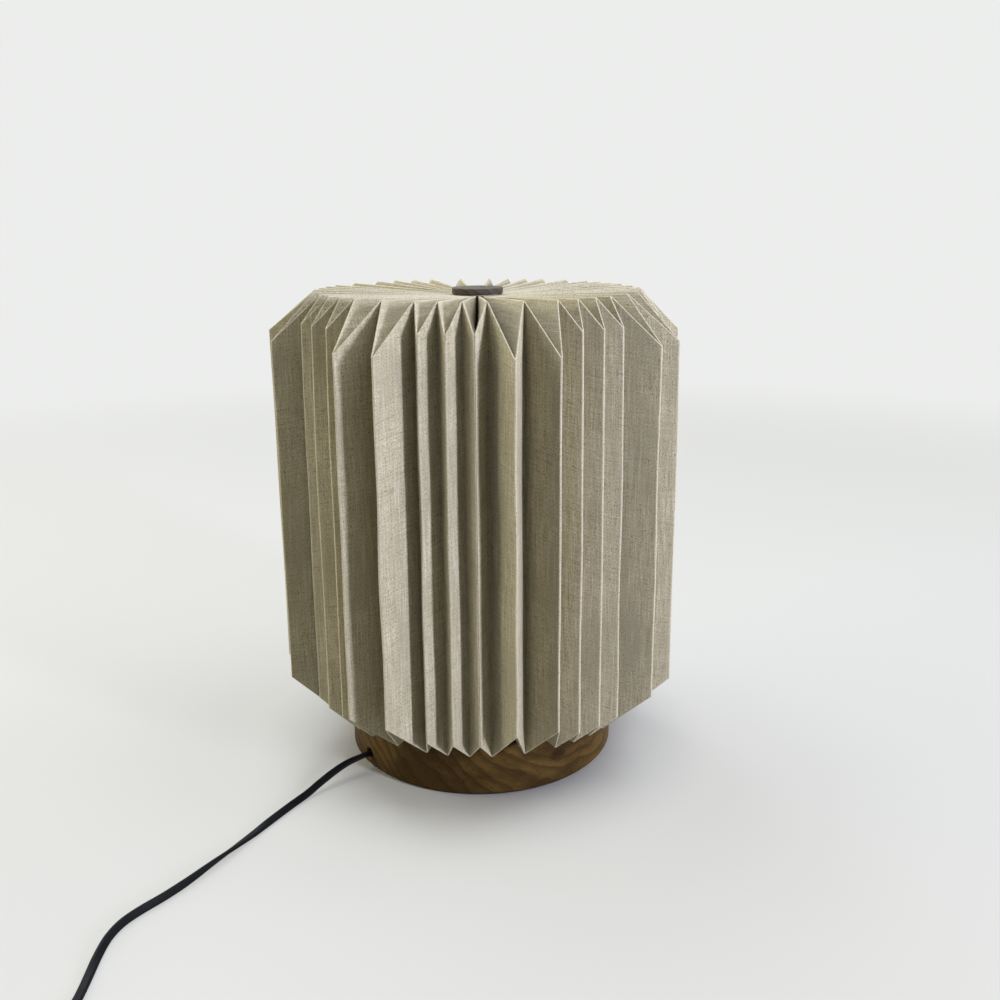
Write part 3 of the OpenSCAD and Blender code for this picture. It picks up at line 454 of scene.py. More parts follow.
@dataclass(frozen=True)
class Walnut:
    """Oiled walnut, cut so that its grain slants across the side."""

    name: str
    mid: Colour
    dark: Colour
    gold: Colour
    spacing: float
    pith: float
    knot: Point
    knot_r: float
    # Painted shadow along the foot, in millimetres: full at the first height, gone at the second.
    foot_shadow: float = 1.1
    foot_shadow_top: float = 1.9

    def material(self) -> bpy.types.Material:
        """The wood, with rings, fibres, pores, a knot, rubbed edges and a painted shadow along its foot.

        Returns:
            The material.
        """
        made = Surface(self.name, Roughness=0.5, Specular_IOR_Level=0.06)
        place = made.place()
        to_knot = made.moved(place, tuple(-c for c in self.knot))
        away = made.length(made.scaled(to_knot, (0.7, 1.0, 1.25)))
        pull = made.band(away, 4 * self.knot_r, 0.0, 0.0, 5.0)
        bent = made.moved(place, made.join(0.0, 0.0, pull))
        wood = made.effect(wood_grain(), Vector=bent, Spacing=self.spacing, Pith=self.pith).outputs
        figure = made.band(made.noise(made.scaled(place, (0.022, 0.03, 0.06)), 1.0, 3.0), 0.42, 0.66)
        heart = made.mix(figure, self.mid, self.gold)
        ringed = made.mix(made.times(wood["Ring"], 0.6), heart, self.dark)
        streaked = made.mix(made.band(wood["Fibre"], 0.5, 0.72, 0.0, 0.65), ringed, self.dark)
        lit = made.mix(made.band(wood["Fibre"], 0.45, 0.28, 0.0, 0.4), streaked, self.gold)
        pored = made.mix(made.times(wood["Pore"], 0.7), lit, shade_of(self.dark, 0.45))
        rough_edge = made.times(made.noise(place, 0.5, 3.0), 0.8 * self.knot_r)
        eye_share = made.band(made.plus(away, rough_edge), 1.5 * self.knot_r, 0.7 * self.knot_r, 0.0, 0.85)
        eye = made.mix(eye_share, pored, shade_of(self.dark, 0.7))
        edge = made.effect(rubbed_edges(), Vector=place, Width=0.6).outputs["Mask"]
        rubbed = made.mix(made.times(edge, 0.35), eye, self.gold)
        height = made.split(place)[2]
        ragged_height = made.plus(height, made.times(made.noise(place, 0.35), -0.8))
        # Painted shade: a dark band along the bottom edge, where the base meets its pad.
        foot_shadow = made.band(ragged_height, self.foot_shadow_top, self.foot_shadow, 0.0, 0.85)
        made.paint("Base Color", made.mix(foot_shadow, rubbed, shade_of(self.dark, 0.4)))
        made.paint("Roughness", made.band(wood["Fibre"], 0.3, 0.7, 0.42, 0.6))
        relief = made.math("SUBTRACT", wood["Fibre"], made.times(wood["Pore"], 0.9))
        made.emboss(relief, 0.12, 0.55)
        return made.material


@dataclass(frozen=True)
class Plastic:
    """A moulded plastic with a fine mould texture, finger marks and rubbed edges."""

    name: str
    colour: Colour
    roughness: float
    grain: float = 0.02
    edge_gain: float = 2.2
    glow: float = 0.0
    gloss: float = 0.2

    def material(self) -> bpy.types.Material:
        """The plastic, glowing a little inside where it is opal.

        Returns:
            The material.
        """
        made = Surface(self.name, Specular_IOR_Level=self.gloss, Subsurface_Weight=self.glow)
        if self.glow:
            made.paint("Subsurface Radius", (1.0, 0.9, 0.7))
            made.paint("Subsurface Scale", 1.5 * MM)
        place = made.place()
        marks = made.effect(handled(), Vector=place).outputs
        edge = made.effect(rubbed_edges(), Vector=place, Width=0.35).outputs["Mask"]
        clouded = made.mix(made.times(marks["Cloud"], 0.5), self.colour, shade_of(self.colour, 0.86))
        dusty = made.mix(made.times(marks["Speck"], 0.08), clouded, rgb(0.25, 0.24, 0.22))
        rubbed = rgb(*(min(1.0, self.edge_gain * c + 0.004) for c in self.colour[:3]))
        made.paint("Base Color", made.mix(made.times(edge, 0.6), dusty, rubbed))
        made.paint("Roughness", made.band(marks["Cloud"], 0.0, 1.0, self.roughness, self.roughness + 0.12))
        made.emboss(made.noise(place, 4.0, 3.0, 0.6), self.grain, 0.8)
        return made.material


@dataclass(frozen=True)
class Metal:
    """A bare or plated metal, with the marks of the tool that made it."""

    name: str
    colour: Colour
    roughness: float
    marks: Marks

    def material(self) -> bpy.types.Material:
        """The metal, with tarnish, scratches and bright edges.

        Returns:
            The material.
        """
        made = Surface(self.name, Metallic=1.0)
        place = made.place()
        lines = made.effect(tool_marks(), Vector=place, Stretch=self.marks.value).outputs["Height"]
        dull = made.effect(handled(), Vector=place).outputs
        edge = made.effect(rubbed_edges(), Vector=place, Width=0.25).outputs["Mask"]
        tarnish = made.mix(made.times(dull["Cloud"], 0.6), self.colour, shade_of(self.colour, 0.72))
        scratched = made.mix(made.band(lines, 0.45, 0.75, 0.0, 0.3), tarnish, shade_of(self.colour, 0.6))
        bright = rgb(*(min(0.95, 1.25 * c) for c in self.colour[:3]))
        made.paint("Base Color", made.mix(made.times(edge, 0.7), scratched, bright))
        made.paint("Roughness", made.band(lines, 0.2, 0.8, self.roughness, self.roughness + 0.15))
        made.emboss(lines, 0.015, 0.6)
        return made.material


@dataclass(frozen=True)
class Felt:
    """Pressed wool felt: tangled fibres with a soft nap."""

    colour: Colour = rgb(0.02, 0.018, 0.014)

    def material(self) -> bpy.types.Material:
        """The felt, with its hairs.

        Returns:
            The material.
        """
        made = Surface("felt", Roughness=1.0, Specular_IOR_Level=0.1, Sheen_Weight=0.4)
        place = made.place()
        twist = made.times(made.noise(place, 0.8, 2.0), 4.0)
        tangle = made.moved(made.scaled(place, (1.6, 1.6, 1.6)), made.join(twist, twist))
        hairs = made.noise(tangle, 1.5, 5.0, 0.75)
        tone = made.mix(made.band(hairs, 0.35, 0.7), shade_of(self.colour, 0.6), shade_of(self.colour, 1.9))
        made.paint("Base Color", tone)
        made.emboss(hairs, 0.5, 0.9)
        return made.material


@dataclass(frozen=True)
class Sheath:
    """A lead's or wire's soft glossy covering, faintly dusty."""

    name: str
    colour: Colour
    roughness: float = 0.34

    def material(self) -> bpy.types.Material:
        """The covering, with its grime.

        Returns:
            The material.
        """
        made = Surface(self.name, Specular_IOR_Level=0.08)
        place = made.place()
        marks = made.effect(handled(), Vector=place).outputs
        grime = made.mix(made.times(marks["Cloud"], 0.6), self.colour, shade_of(self.colour, 1.8))
        made.paint("Base Color", made.mix(made.times(marks["Speck"], 0.08), grime, rgb(0.12, 0.12, 0.11)))
        made.paint("Roughness", made.band(marks["Cloud"], 0.0, 1.0, self.roughness, self.roughness + 0.14))
        made.emboss(made.noise(place, 1.1, 3.0), 0.06, 0.6)
        return made.material


@dataclass(frozen=True)
class LightBoard:
    """A white circuit board with yellow light chips along its middle."""

    board: Colour = rgb(0.82, 0.81, 0.76)
    chip: Colour = rgb(0.82, 0.66, 0.2)
    chip_face_r: float = 8.6

    def material(self) -> bpy.types.Material:
        """The board: what stands out past its face is a chip.

        Returns:
            The material.
        """
        made = Surface("light_board", Roughness=0.35, Specular_IOR_Level=0.5)
        place = made.place()
        x, y, _ = made.split(place)
        reach = made.math("SQRT", made.plus(made.times(x, x), made.times(y, y)))
        chip = made.band(reach, self.chip_face_r, self.chip_face_r + 0.1)
        fine = made.noise(place, 1.5, 3.0)
        board = made.mix(made.band(fine, 0.4, 0.7), self.board, shade_of(self.board, 0.93))
        made.paint("Base Color", made.mix(chip, board, self.chip))
        made.emboss(fine, 0.02, 0.5)
        return made.material


# The shade


class Way(Enum):
    """Which way a fold points in the shade's straight part."""

    IN = -1
    OUT = 1


class Zone(IntEnum):
    """The zones that a row of the shade's strip can lie in."""

    TOP = 0
    BODY = 1
    FOOT = 2
    CREASE = 3


@dataclass(frozen=True)
class Fold:
    """One fold line of the strip: its way, and its corners from the hub down to the mouth."""

    way: Way
    corners: np.ndarray


@dataclass
class PleatedShade:
    """The shade: one strip of pleats, turned in at its top and bottom by reverse folds.

    Lengths are in metres and angles in degrees. A lean is how far a pleat's outer fold stands to one side,
    by the pleat's number. A turn is how far down or up the reverse fold takes a pleat's end. The wear and
    highlight fields are how pale the cloth is painted along its folds, from 0 to 1: partly rubbed wear,
    partly painted highlight.
    """

    CLOTH: ClassVar[str] = "cloth"
    # Mesh attribute of the pale folds: partly rubbed wear, partly painted highlight.
    CREST_WEAR_AND_HIGHLIGHT: ClassVar[str] = "crest_wear_and_highlight"
    CORNERS: ClassVar[int] = 4
    SEED: ClassVar[int] = 7
    LEANS: ClassVar[tuple[tuple[int, float], ...]] = (
        (2, -0.4),
        (3, 0.7),
        (4, 0.9),
        (5, 1.6),
        (6, -0.85),
        (7, 1.3),
        (8, -1.5),
        (31, -2.9),
        (32, 1.5),
        (33, -3.9),
        (34, -3.1),
        (35, -2.3),
        (36, -0.25),
        (38, -0.7),
        (39, -0.35),
    )

    fold_r: float = 0.085
    wide_depth: float = 0.0228
    narrow_depth: float = 0.0103
    wide_arc: float = 11.3
    group_count: int = 8
    wide_count: int = 2
    narrow_count: int = 3
    wide_turn: float = 0.022
    narrow_turn_top: float = 0.0128
    narrow_turn_foot: float = 0.0108
    foot: float = 0.0302
    top: float = 0.2564
    hub_r: float = 0.01085
    hub_ridge: float = 0.2534
    mouth_r: float = 0.045
    hand_drift: float = 7.2
    seam_angle: float = -91.1
    paper: float = 0.0005
    fold_radius: float = 0.00042
    hub_fold_radius: float = 0.00024
    crease_reach: float = 0.0005
    arc_steps: int = 5
    panel_steps: int = 4
    fold_side: float = 0.00045
    # How pale the folds, their sides, the crease ends and the foot's inner folds are painted: partly rubbed
    # wear, partly painted highlight.
    fold_wear_and_highlight: float = 0.6
    side_wear_and_highlight: float = 0.15
    bend_end_wear_and_highlight: float = 0.2
    foot_wear_and_highlight: float = 0.7
    edge_share: float = 0.006
    top_rows: int = 10
    body_rows: int = 22
    foot_rows: int = 6
    bow: float = 0.0004
    flap_bow: float = 0.8
    waver: float = 0.00025
    lean: dict[int, float] = field(default_factory=lambda: dict(PleatedShade.LEANS))
    top_lean_share: float = 0.55
    lean_run: float = 0.3
    turn_change: dict[int, float] = field(default_factory=lambda: {31: -0.003})
    spread_top: float = 0.012
    spread_foot: float = 0.025
    sway_top: float = 0.0002
    sway_foot: float = 0.0009
    slit: float = 0.0016
    slit_r: float = 0.05
    slit_folds: float = 2.0
    hair_gap: float = 0.0001

    def pleat_count(self) -> int:
        """How many pleats the strip has."""
        return self.group_count * (self.wide_count + self.narrow_count)

    def is_wide(self, pleat: int) -> bool:
        """Whether a pleat is a wide one; pleat 0 is the narrow one that the seam splits."""
        size = self.wide_count + self.narrow_count
        return (pleat + size - 1) % size < self.wide_count

    def arc(self, pleat: int) -> float:
        """The angle that a pleat takes up, in degrees."""
        narrow = (360 / self.group_count - self.wide_count * self.wide_arc) / self.narrow_count
        return self.wide_arc if self.is_wide(pleat) else narrow

    def depth(self, pleat: int) -> float:
        """How far a pleat stands out of the circle of its inner folds."""
        return self.wide_depth if self.is_wide(pleat) else self.narrow_depth

    def drawn_round(self, angle: float) -> float:
        """An angle from the seam, after the hand that glued the strip drew it round."""
        return angle - self.hand_drift * ((1 - math.cos(math.radians(angle))) / 2) ** 2

    def at(self, azimuth: float, levels: list[tuple[float, float]]) -> np.ndarray:
        """The points at each radius and height, at one azimuth from the seam in degrees."""
        turn = math.radians(self.seam_angle + azimuth)
        return np.array([[r * math.cos(turn), r * math.sin(turn), z] for r, z in levels])

    def inner_fold(self, angle: float) -> Fold:
        """Places an inner fold.

        Args:
            angle: Its angle from the seam, in degrees.

        Returns:
            The fold.
        """
        half = self.paper / 2
        levels = [
            (self.hub_r, self.hub_ridge),
            (self.fold_r - half, self.top + half),
            (self.fold_r - half, self.foot - half),
            (self.mouth_r, self.foot),
        ]
        return Fold(Way.IN, self.at(self.drawn_round(angle), levels))

    def outer_fold(self, angle: float, pleat: int) -> Fold:
        """Places the outer fold of a pleat.

        Args:
            angle: Its angle from the seam, in degrees.
            pleat: The pleat's number.

        Returns:
            The fold.
        """
        half = self.paper / 2
        r = self.fold_r + self.depth(pleat)
        half_arc = math.radians(self.arc(pleat) / 2)
        panel = math.hypot(r - self.fold_r * math.cos(half_arc), self.fold_r * math.sin(half_arc))
        turn_top = self.wide_turn if self.is_wide(pleat) else self.narrow_turn_top
        turn_top += self.turn_change.get(pleat, 0.0)
        turn_foot = self.wide_turn if self.is_wide(pleat) else self.narrow_turn_foot
        levels = [
            (self.hub_r, self.hub_ridge - panel),
            (r + half, self.top - turn_top - half),
            (r + half, self.foot + turn_foot + half),
            (self.mouth_r, self.foot + panel),
        ]
        straight = self.drawn_round(angle)
        corners = self.at(straight, levels)
        lean = self.lean.get(pleat, 0.0)
        corners[1] = self.at(straight + self.top_lean_share * lean, levels)[1]
        corners[2] = self.at(straight + lean, levels)[2]
        return Fold(Way.OUT, corners)

    def folds(self) -> list[Fold]:
        """Places every fold line.

        Returns:
            The folds, from the seam's fold round to the seam's fold again.
        """
        result = []
        start = -self.arc(0) / 2
        for pleat in range(self.pleat_count()):
            result.append(self.outer_fold(start + self.arc(pleat) / 2, pleat))
            start += self.arc(pleat)
            result.append(self.inner_fold(start))
        result.append(self.outer_fold(360.0, 0))
        return result

    def fold_arc(self, before: np.ndarray, fold: Fold, after: np.ndarray) -> np.ndarray:
        """The rounded fold as columns.

        Args:
            before: The corners of the fold before it.
            fold: The fold.
            after: The corners of the fold after it.

        Returns:
            An array of columns by levels by 3, from the panel before to the panel after.
        """
        columns = np.zeros((self.arc_steps, self.CORNERS, 3))
        for level in range(self.CORNERS):
            tip = fold.corners[level]
            back = before[level] - tip
            on = after[level] - tip
            back, on = back / np.linalg.norm(back), on / np.linalg.norm(on)
            out = -(back + on) / np.linalg.norm(back + on)
            across = (on - back) / np.linalg.norm(on - back)
            half_angle = math.acos(np.clip(-out @ on, -1, 1))
            radius = self.hub_fold_radius if level == 0 else self.fold_radius
            sweep = math.pi / 2 - half_angle
            for step, theta in enumerate(np.linspace(-sweep, sweep, self.arc_steps)):
                columns[step, level] = tip + radius * ((math.cos(theta) - 1) * out + math.sin(theta) * across)
        return columns

    def strip_columns(self, folds: list[Fold]) -> tuple[np.ndarray, np.ndarray, np.ndarray]:
        """The whole strip as columns of four corners.

        Args:
            folds: Every fold line in order.

        Returns:
            The columns' corners, and for each column the fold number that it is at, a fraction on a panel,
            and how much of a fold it is, signed by the fold's way.
        """
        last = len(folds) - 1
        arcs = []
        for i, fold in enumerate(folds):
            before = folds[last - 1].corners if i == 0 else folds[i - 1].corners
            after = folds[1].corners if i == last else folds[i + 1].corners
            arcs.append(self.fold_arc(before, fold, after))
        middle = self.arc_steps // 2
        arcs[0], arcs[last] = arcs[0][middle:], arcs[last][: middle + 1]
        columns, where, fold_share = [], [], []
        for i, (fold, arc) in enumerate(zip(folds, arcs)):
            offset = middle if i == 0 else 0
            for step, column in enumerate(arc):
                from_middle = abs(step + offset - middle) / middle
                columns.append(column)
                where.append(float(i))
                fold_share.append(fold.way.value * (1.0 - self.fold_wear_and_highlight * from_middle**2))
            if i == last:
                break
            start, end = arc[-1], arcs[i + 1][0]
            width = np.linalg.norm(end[1] - start[1])
            side = self.fold_side / width
            inner = np.linspace(0, 1, self.panel_steps)[1:-1]
            for share in (side, 3 * side, *inner, 1 - 3 * side, 1 - side):
                columns.append(start + share * (end - start))
                where.append(i + share)
                near = self.side_wear_and_highlight if min(share, 1 - share) <= side else 0.0
                fold_share.append(near * (fold.way.value if share < 0.5 else -fold.way.value))
        return np.array(columns), np.array(where), np.array(fold_share)

    def rows_down(self, columns: np.ndarray) -> tuple[np.ndarray, np.ndarray, np.ndarray]:
        """Runs rows down the columns, with rounded creases at their two corners.

        Args:
            columns: The columns' four corners.

        Returns:
            The grid of points by column and row, and for each row its zone and its share of the way down
            that zone.
        """
        hub, top, foot, mouth = (columns[:, level] for level in range(self.CORNERS))
        edge = self.edge_share
        top_shares = np.concatenate([[0, edge], np.linspace(0, 1, self.top_rows)[1:-1], [1 - edge * 2]])
        foot_shares = np.concatenate([[edge * 3], np.linspace(0, 1, self.foot_rows)[1:-1], [1 - edge * 2, 1]])
        body_shares = np.concatenate([[edge], np.linspace(0, 1, self.body_rows)[1:-1], [1 - edge]])
        bend = (0.0, 1 / 3, 2 / 3, 1.0)
        runs = (
            (Zone.TOP, top_shares, [hub + s * (top - hub) for s in top_shares]),
            (Zone.CREASE, bend, self.crease(top, hub, foot, bend)),
            (Zone.BODY, body_shares, [top + s * (foot - top) for s in body_shares]),
            (Zone.CREASE, bend, self.crease(foot, top, mouth, bend)),
            (Zone.FOOT, foot_shares, [foot + s * (mouth - foot) for s in foot_shares]),
        )
        grid = np.stack([row for _, _, rows in runs for row in rows], axis=1)
        zone = np.concatenate([[kind] * len(shares) for kind, shares, _ in runs])
        return grid, zone, np.concatenate([shares for _, shares, _ in runs])

    def crease(
        self, corner: np.ndarray, before: np.ndarray, after: np.ndarray, shares: tuple[float, ...]
    ) -> list[np.ndarray]:
        """Rounds a crease off.

        Args:
            corner: The crease's corner in each column.
            before: The corner above it.
            after: The corner below it.
            shares: How far round the crease each row lies, from 0 to 1.

        Returns:
            The crease's rows.
        """
        up, down = corner - before, after - corner
        up, down = (v / np.linalg.norm(v, axis=1, keepdims=True) for v in (up, down))
        a, b = corner - self.crease_reach * up, corner + self.crease_reach * down
        return [(1 - s) ** 2 * a + 2 * s * (1 - s) * corner + s**2 * b for s in shares]

    def hand_made(
        self, grid: np.ndarray, where: np.ndarray, zone: np.ndarray, share: np.ndarray
    ) -> np.ndarray:
        """Adds what a hand-folded strip has: panels that bow, folds that waver and the open seam.

        Args:
            grid: The strip's points by column and row.
            where: Each column's fold number.
            zone: Each row's zone.
            share: Each row's share of the way down its zone.

        Returns:
            The moved points.
        """
        chance = np.random.default_rng(self.SEED)
        count = 2 * self.pleat_count()
        bows = chance.uniform(-1, 1, (count + 1, 2)) * self.bow
        phases = chance.uniform(0, 2 * math.pi, (count + 1, 4))
        sizes = chance.uniform(-1, 1, (count + 1, 4)) * self.waver
        sizes[count], phases[count] = sizes[0], phases[0]
        leans = [0.0] * (count + 1)
        for pleat, lean in self.lean.items():
            leans[2 * pleat] = lean
        moved = grid.copy()
        turn = 2 * math.pi * np.where(zone == Zone.TOP, 1 - share, share)
        hump = np.sin(math.pi * np.where(zone == Zone.CREASE, 0.0, share))
        body = zone == Zone.BODY
        calm = hump**0.5 * body
        flap = hump * ((zone == Zone.TOP) | (zone == Zone.FOOT))
        let_go = (np.minimum(share / self.lean_run, 1.0) - share) * body
        drifts = [self.drift(size, phase, turn) for size, phase in zip(sizes, phases)]
        for column, spot in enumerate(where):
            fold = min(int(spot), count - 1)
            t = spot - fold
            radial, tangent = self.axes_at(grid[column])
            side, out = (((1 - t) * a + t * b) * calm for a, b in zip(drifts[fold], drifts[fold + 1]))
            held_back = (1 - self.top_lean_share) * ((1 - t) * leans[fold] + t * leans[fold + 1])
            side += math.radians(held_back) * (self.fold_r + self.narrow_depth) * let_go
            belly = 4 * t * (1 - t)
            side += belly * bows[fold, 0] * calm
            from_seam = min(spot, count - spot)
            if from_seam < self.slit_folds:
                way = 1 if spot < count / 2 else -1
                side += way * (1 - from_seam / self.slit_folds) * self.opening(grid[column], zone) / 2
            moved[column] += side[:, None] * tangent + out[:, None] * radial
            moved[column, :, 2] += belly * bows[fold, 1] * self.flap_bow * flap
        return moved

    @staticmethod
    def drift(sizes: np.ndarray, phases: np.ndarray, turn: np.ndarray) -> tuple[np.ndarray, np.ndarray]:
        """How a fold line wavers on its way down.

        Args:
            sizes: The sizes of its four waves.
            phases: Where each wave starts.
            turn: Each row's angle along the wave.

        Returns:
            How far each row moves sideways and outwards.
        """
        waves = sizes[:, None] * np.sin(np.outer((1.0, 2.3, 1.0, 1.7), turn) + phases[:, None])
        return waves[0] + waves[1], waves[2] + waves[3]

    @staticmethod
    def axes_at(points: np.ndarray) -> tuple[np.ndarray, np.ndarray]:
        """The ways outwards and round the lamp at some points.

        Args:
            points: The points, none of them on the lamp's axis.

        Returns:
            Unit vectors outwards and round.
        """
        radial = points * np.array([1, 1, 0])
        radial /= np.linalg.norm(radial, axis=1, keepdims=True)
        return radial, np.stack([-radial[:, 1], radial[:, 0], np.zeros(len(points))], axis=1)

    def opening(self, points: np.ndarray, zone: np.ndarray) -> np.ndarray:
        """How wide the seam stands open beside a column.

        Args:
            points: The column's points.
            zone: Each row's zone.

        Returns:
            The opening's width at each row.
        """
        r = np.hypot(points[:, 0], points[:, 1])
        high = points[:, 2] > (self.top + self.foot) / 2
        rows = (zone == Zone.TOP) | ((zone == Zone.CREASE) & high)
        inwards = np.clip((self.fold_r - r) / (self.fold_r - self.slit_r), 0, 1)
        near_hub = np.clip((r - self.hub_r) / (self.slit_r - self.hub_r), 0, 1)
        return np.where(rows, self.slit * inwards * (0.5 + 0.5 * near_hub), 0.0) + self.hair_gap

    def spread(self, grid: np.ndarray) -> np.ndarray:
        """Lets the strip stand a little wider than its hub and base hold it, most of all at its foot.

        Args:
            grid: The strip's points by column and row.

        Returns:
            The moved points.
        """
        down = np.clip((self.top - grid[..., 2]) / (self.top - self.foot), 0, 1)
        r = np.hypot(grid[..., 0], grid[..., 1])
        free = np.clip((r - self.mouth_r) / (self.fold_r - self.mouth_r), 0, 1)
        wider = 1 + free * (self.spread_top + (self.spread_foot - self.spread_top) * down)
        moved = grid * np.stack([wider, wider, np.ones_like(wider)], axis=-1)
        moved[..., 0] += free * (self.sway_top + (self.sway_foot - self.sway_top) * down)
        return moved

    def crest_wear_and_highlight_of(self, fold_share: np.ndarray, zone: np.ndarray, share: np.ndarray) -> np.ndarray:
        """Where the cloth is painted pale along folds, creases and cut edges: partly rubbed wear, partly
        painted highlight.

        Args:
            fold_share: How much of a fold each column is, signed by its way.
            zone: Each row's zone.
            share: Each row's share of the way down its zone.

        Returns:
            A value from 0 to 1 by column and row.
        """
        out_fold = np.clip(fold_share, 0, 1)[:, None]
        in_fold = np.clip(-fold_share, 0, 1)[:, None]
        bend_end = (share == 0.0) | (share == 1.0)
        crease = np.where(zone == Zone.CREASE, np.where(bend_end, self.bend_end_wear_and_highlight, 1.0), 0.0)
        cut = (zone == Zone.FOOT) & (share == 1.0) | (zone == Zone.TOP) & (share == 0.0)
        folded = np.maximum.reduce(
            [
                out_fold * (zone == Zone.BODY),
                in_fold * (zone == Zone.TOP),
                self.foot_wear_and_highlight * in_fold * (zone == Zone.FOOT),
            ]
        )
        return np.maximum(folded, np.maximum(crease, cut))

    def mesh(self) -> bpy.types.Object:
        """Makes the strip as a closed sheet of paper, with its cloth coordinates and pale-fold values.

        Returns:
            The sheet's object.
        """
        columns, where, fold_share = self.strip_columns(self.folds())
        grid, zone, share = self.rows_down(columns)
        crest_wear_and_highlight = self.crest_wear_and_highlight_of(fold_share, zone, share)
        grid = self.spread(self.hand_made(grid, where, zone, share))
        down = np.gradient(grid, axis=1)
        round_ = np.gradient(grid, axis=0)
        normal = np.cross(down, round_)
        normal /= np.linalg.norm(normal, axis=2, keepdims=True)
        middle = grid.shape[1] // 2
        if np.einsum("ij,ij->i", normal[:, middle, :2], grid[:, middle, :2]).mean() < 0:
            normal = -normal
        faces_at = [grid + normal * self.paper / 2, grid - normal * self.paper / 2]
        n_columns, n_rows = grid.shape[:2]
        number = np.arange(n_columns * n_rows).reshape(n_columns, n_rows)
        a, b = number[:-1, :-1].ravel(), number[1:, :-1].ravel()
        c, d = number[1:, 1:].ravel(), number[:-1, 1:].ravel()
        outer = np.stack([a, d, c, b], axis=1)
        shift = n_columns * n_rows
        inner = np.stack([a, b, c, d], axis=1) + shift
        loop = np.concatenate([number[:, 0], number[-1, 1:], number[-2::-1, -1], number[0, -2:0:-1]])
        ahead = np.roll(loop, -1)
        rim = np.stack([loop, ahead, ahead + shift, loop + shift], axis=1)
        points = np.concatenate([f.reshape(-1, 3) for f in faces_at])
        faces = np.concatenate([outer, inner, rim])
        mesh = bpy.data.meshes.new("pleated_shade")
        mesh.from_pydata(points.tolist(), [], faces.tolist())
        smooth = np.ones(len(faces), bool)
        smooth[len(outer) + len(inner) :] = False
        mesh.polygons.foreach_set("use_smooth", smooth)
        back = np.zeros(len(faces), np.int32)
        back[len(outer) : len(outer) + len(inner)] = 1
        mesh.polygons.foreach_set("material_index", back)
        self.lay_cloth(mesh, grid, crest_wear_and_highlight)
        shade = bpy.data.objects.new("pleated_shade", mesh)
        bpy.context.scene.collection.objects.link(shade)
        return shade

    def lay_cloth(self, mesh: bpy.types.Mesh, grid: np.ndarray, crest_wear_and_highlight: np.ndarray) -> None:
        """Writes the cloth coordinates, in millimetres, and the pale-fold values, partly rubbed wear and partly
        painted highlight, on the mesh.

        Args:
            mesh: The strip's mesh, whose outer face comes before its inner one.
            grid: The strip's points by column and row.
            crest_wear_and_highlight: The pale-fold values by column and row.
        """
        middle = grid.shape[1] // 2
        steps = np.linalg.norm(np.diff(grid[:, middle], axis=0), axis=1)
        across = np.concatenate([[0], np.cumsum(steps)])
        runs = np.linalg.norm(np.diff(grid, axis=1), axis=2)
        along = np.concatenate([np.zeros((grid.shape[0], 1)), np.cumsum(runs, axis=1)], axis=1)
        along -= along[:, middle : middle + 1]
        across = np.broadcast_to(across[:, None], along.shape)
        cloth = np.stack([across, along, np.zeros_like(along)], axis=2) / MM
        both_faces = np.tile(cloth.reshape(-1, 3), (2, 1)).astype(np.float32)
        attribute = mesh.attributes.new(self.CLOTH, "FLOAT_VECTOR", "POINT")
        attribute.data.foreach_set("vector", both_faces.ravel())
        # Pale folds: partly rubbed wear, partly painted highlight.
        rubbed = mesh.attributes.new(self.CREST_WEAR_AND_HIGHLIGHT, "FLOAT", "POINT")
        rubbed.data.foreach_set("value", np.tile(crest_wear_and_highlight.ravel(), 2).astype(np.float32))

    def flat_size(self) -> tuple[float, float]:
        """Works out the flat strip that was folded.

        Returns:
            Its width along the folds and its length round the lamp.
        """
        length = 0.0
        for pleat in range(self.pleat_count()):
            half_arc = math.radians(self.arc(pleat) / 2)
            run = self.fold_r + self.depth(pleat) - self.fold_r * math.cos(half_arc)
            length += 2 * math.hypot(run, self.fold_r * math.sin(half_arc))
        width = (self.top - self.foot) + (self.fold_r - self.hub_r) + (self.fold_r - self.mouth_r)
        return width, length

    def build(self) -> None:
        """Makes the strip, and dresses it and the pieces that it is glued to."""
        shade = self.mesh()
        shade.data.materials.append(Linen().material())
        shade.data.materials.append(Paper("paper_back", rgb(0.80, 0.77, 0.68)).material())
        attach(shade, "shade")
        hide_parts(*(f"shade_length_{i + 1}" for i in range(self.group_count)))
        dress(Paper("paper_tape", rgb(0.62, 0.58, 0.48)).material(), "seam_tape")
        dress(Plastic("nylon", NYLON, 0.45, edge_gain=1.1).material(), "shade_hub")
        LOG.info("shade: %d faces, flat %.3f by %.3f m", len(shade.data.polygons), *self.flat_size())


# The lead


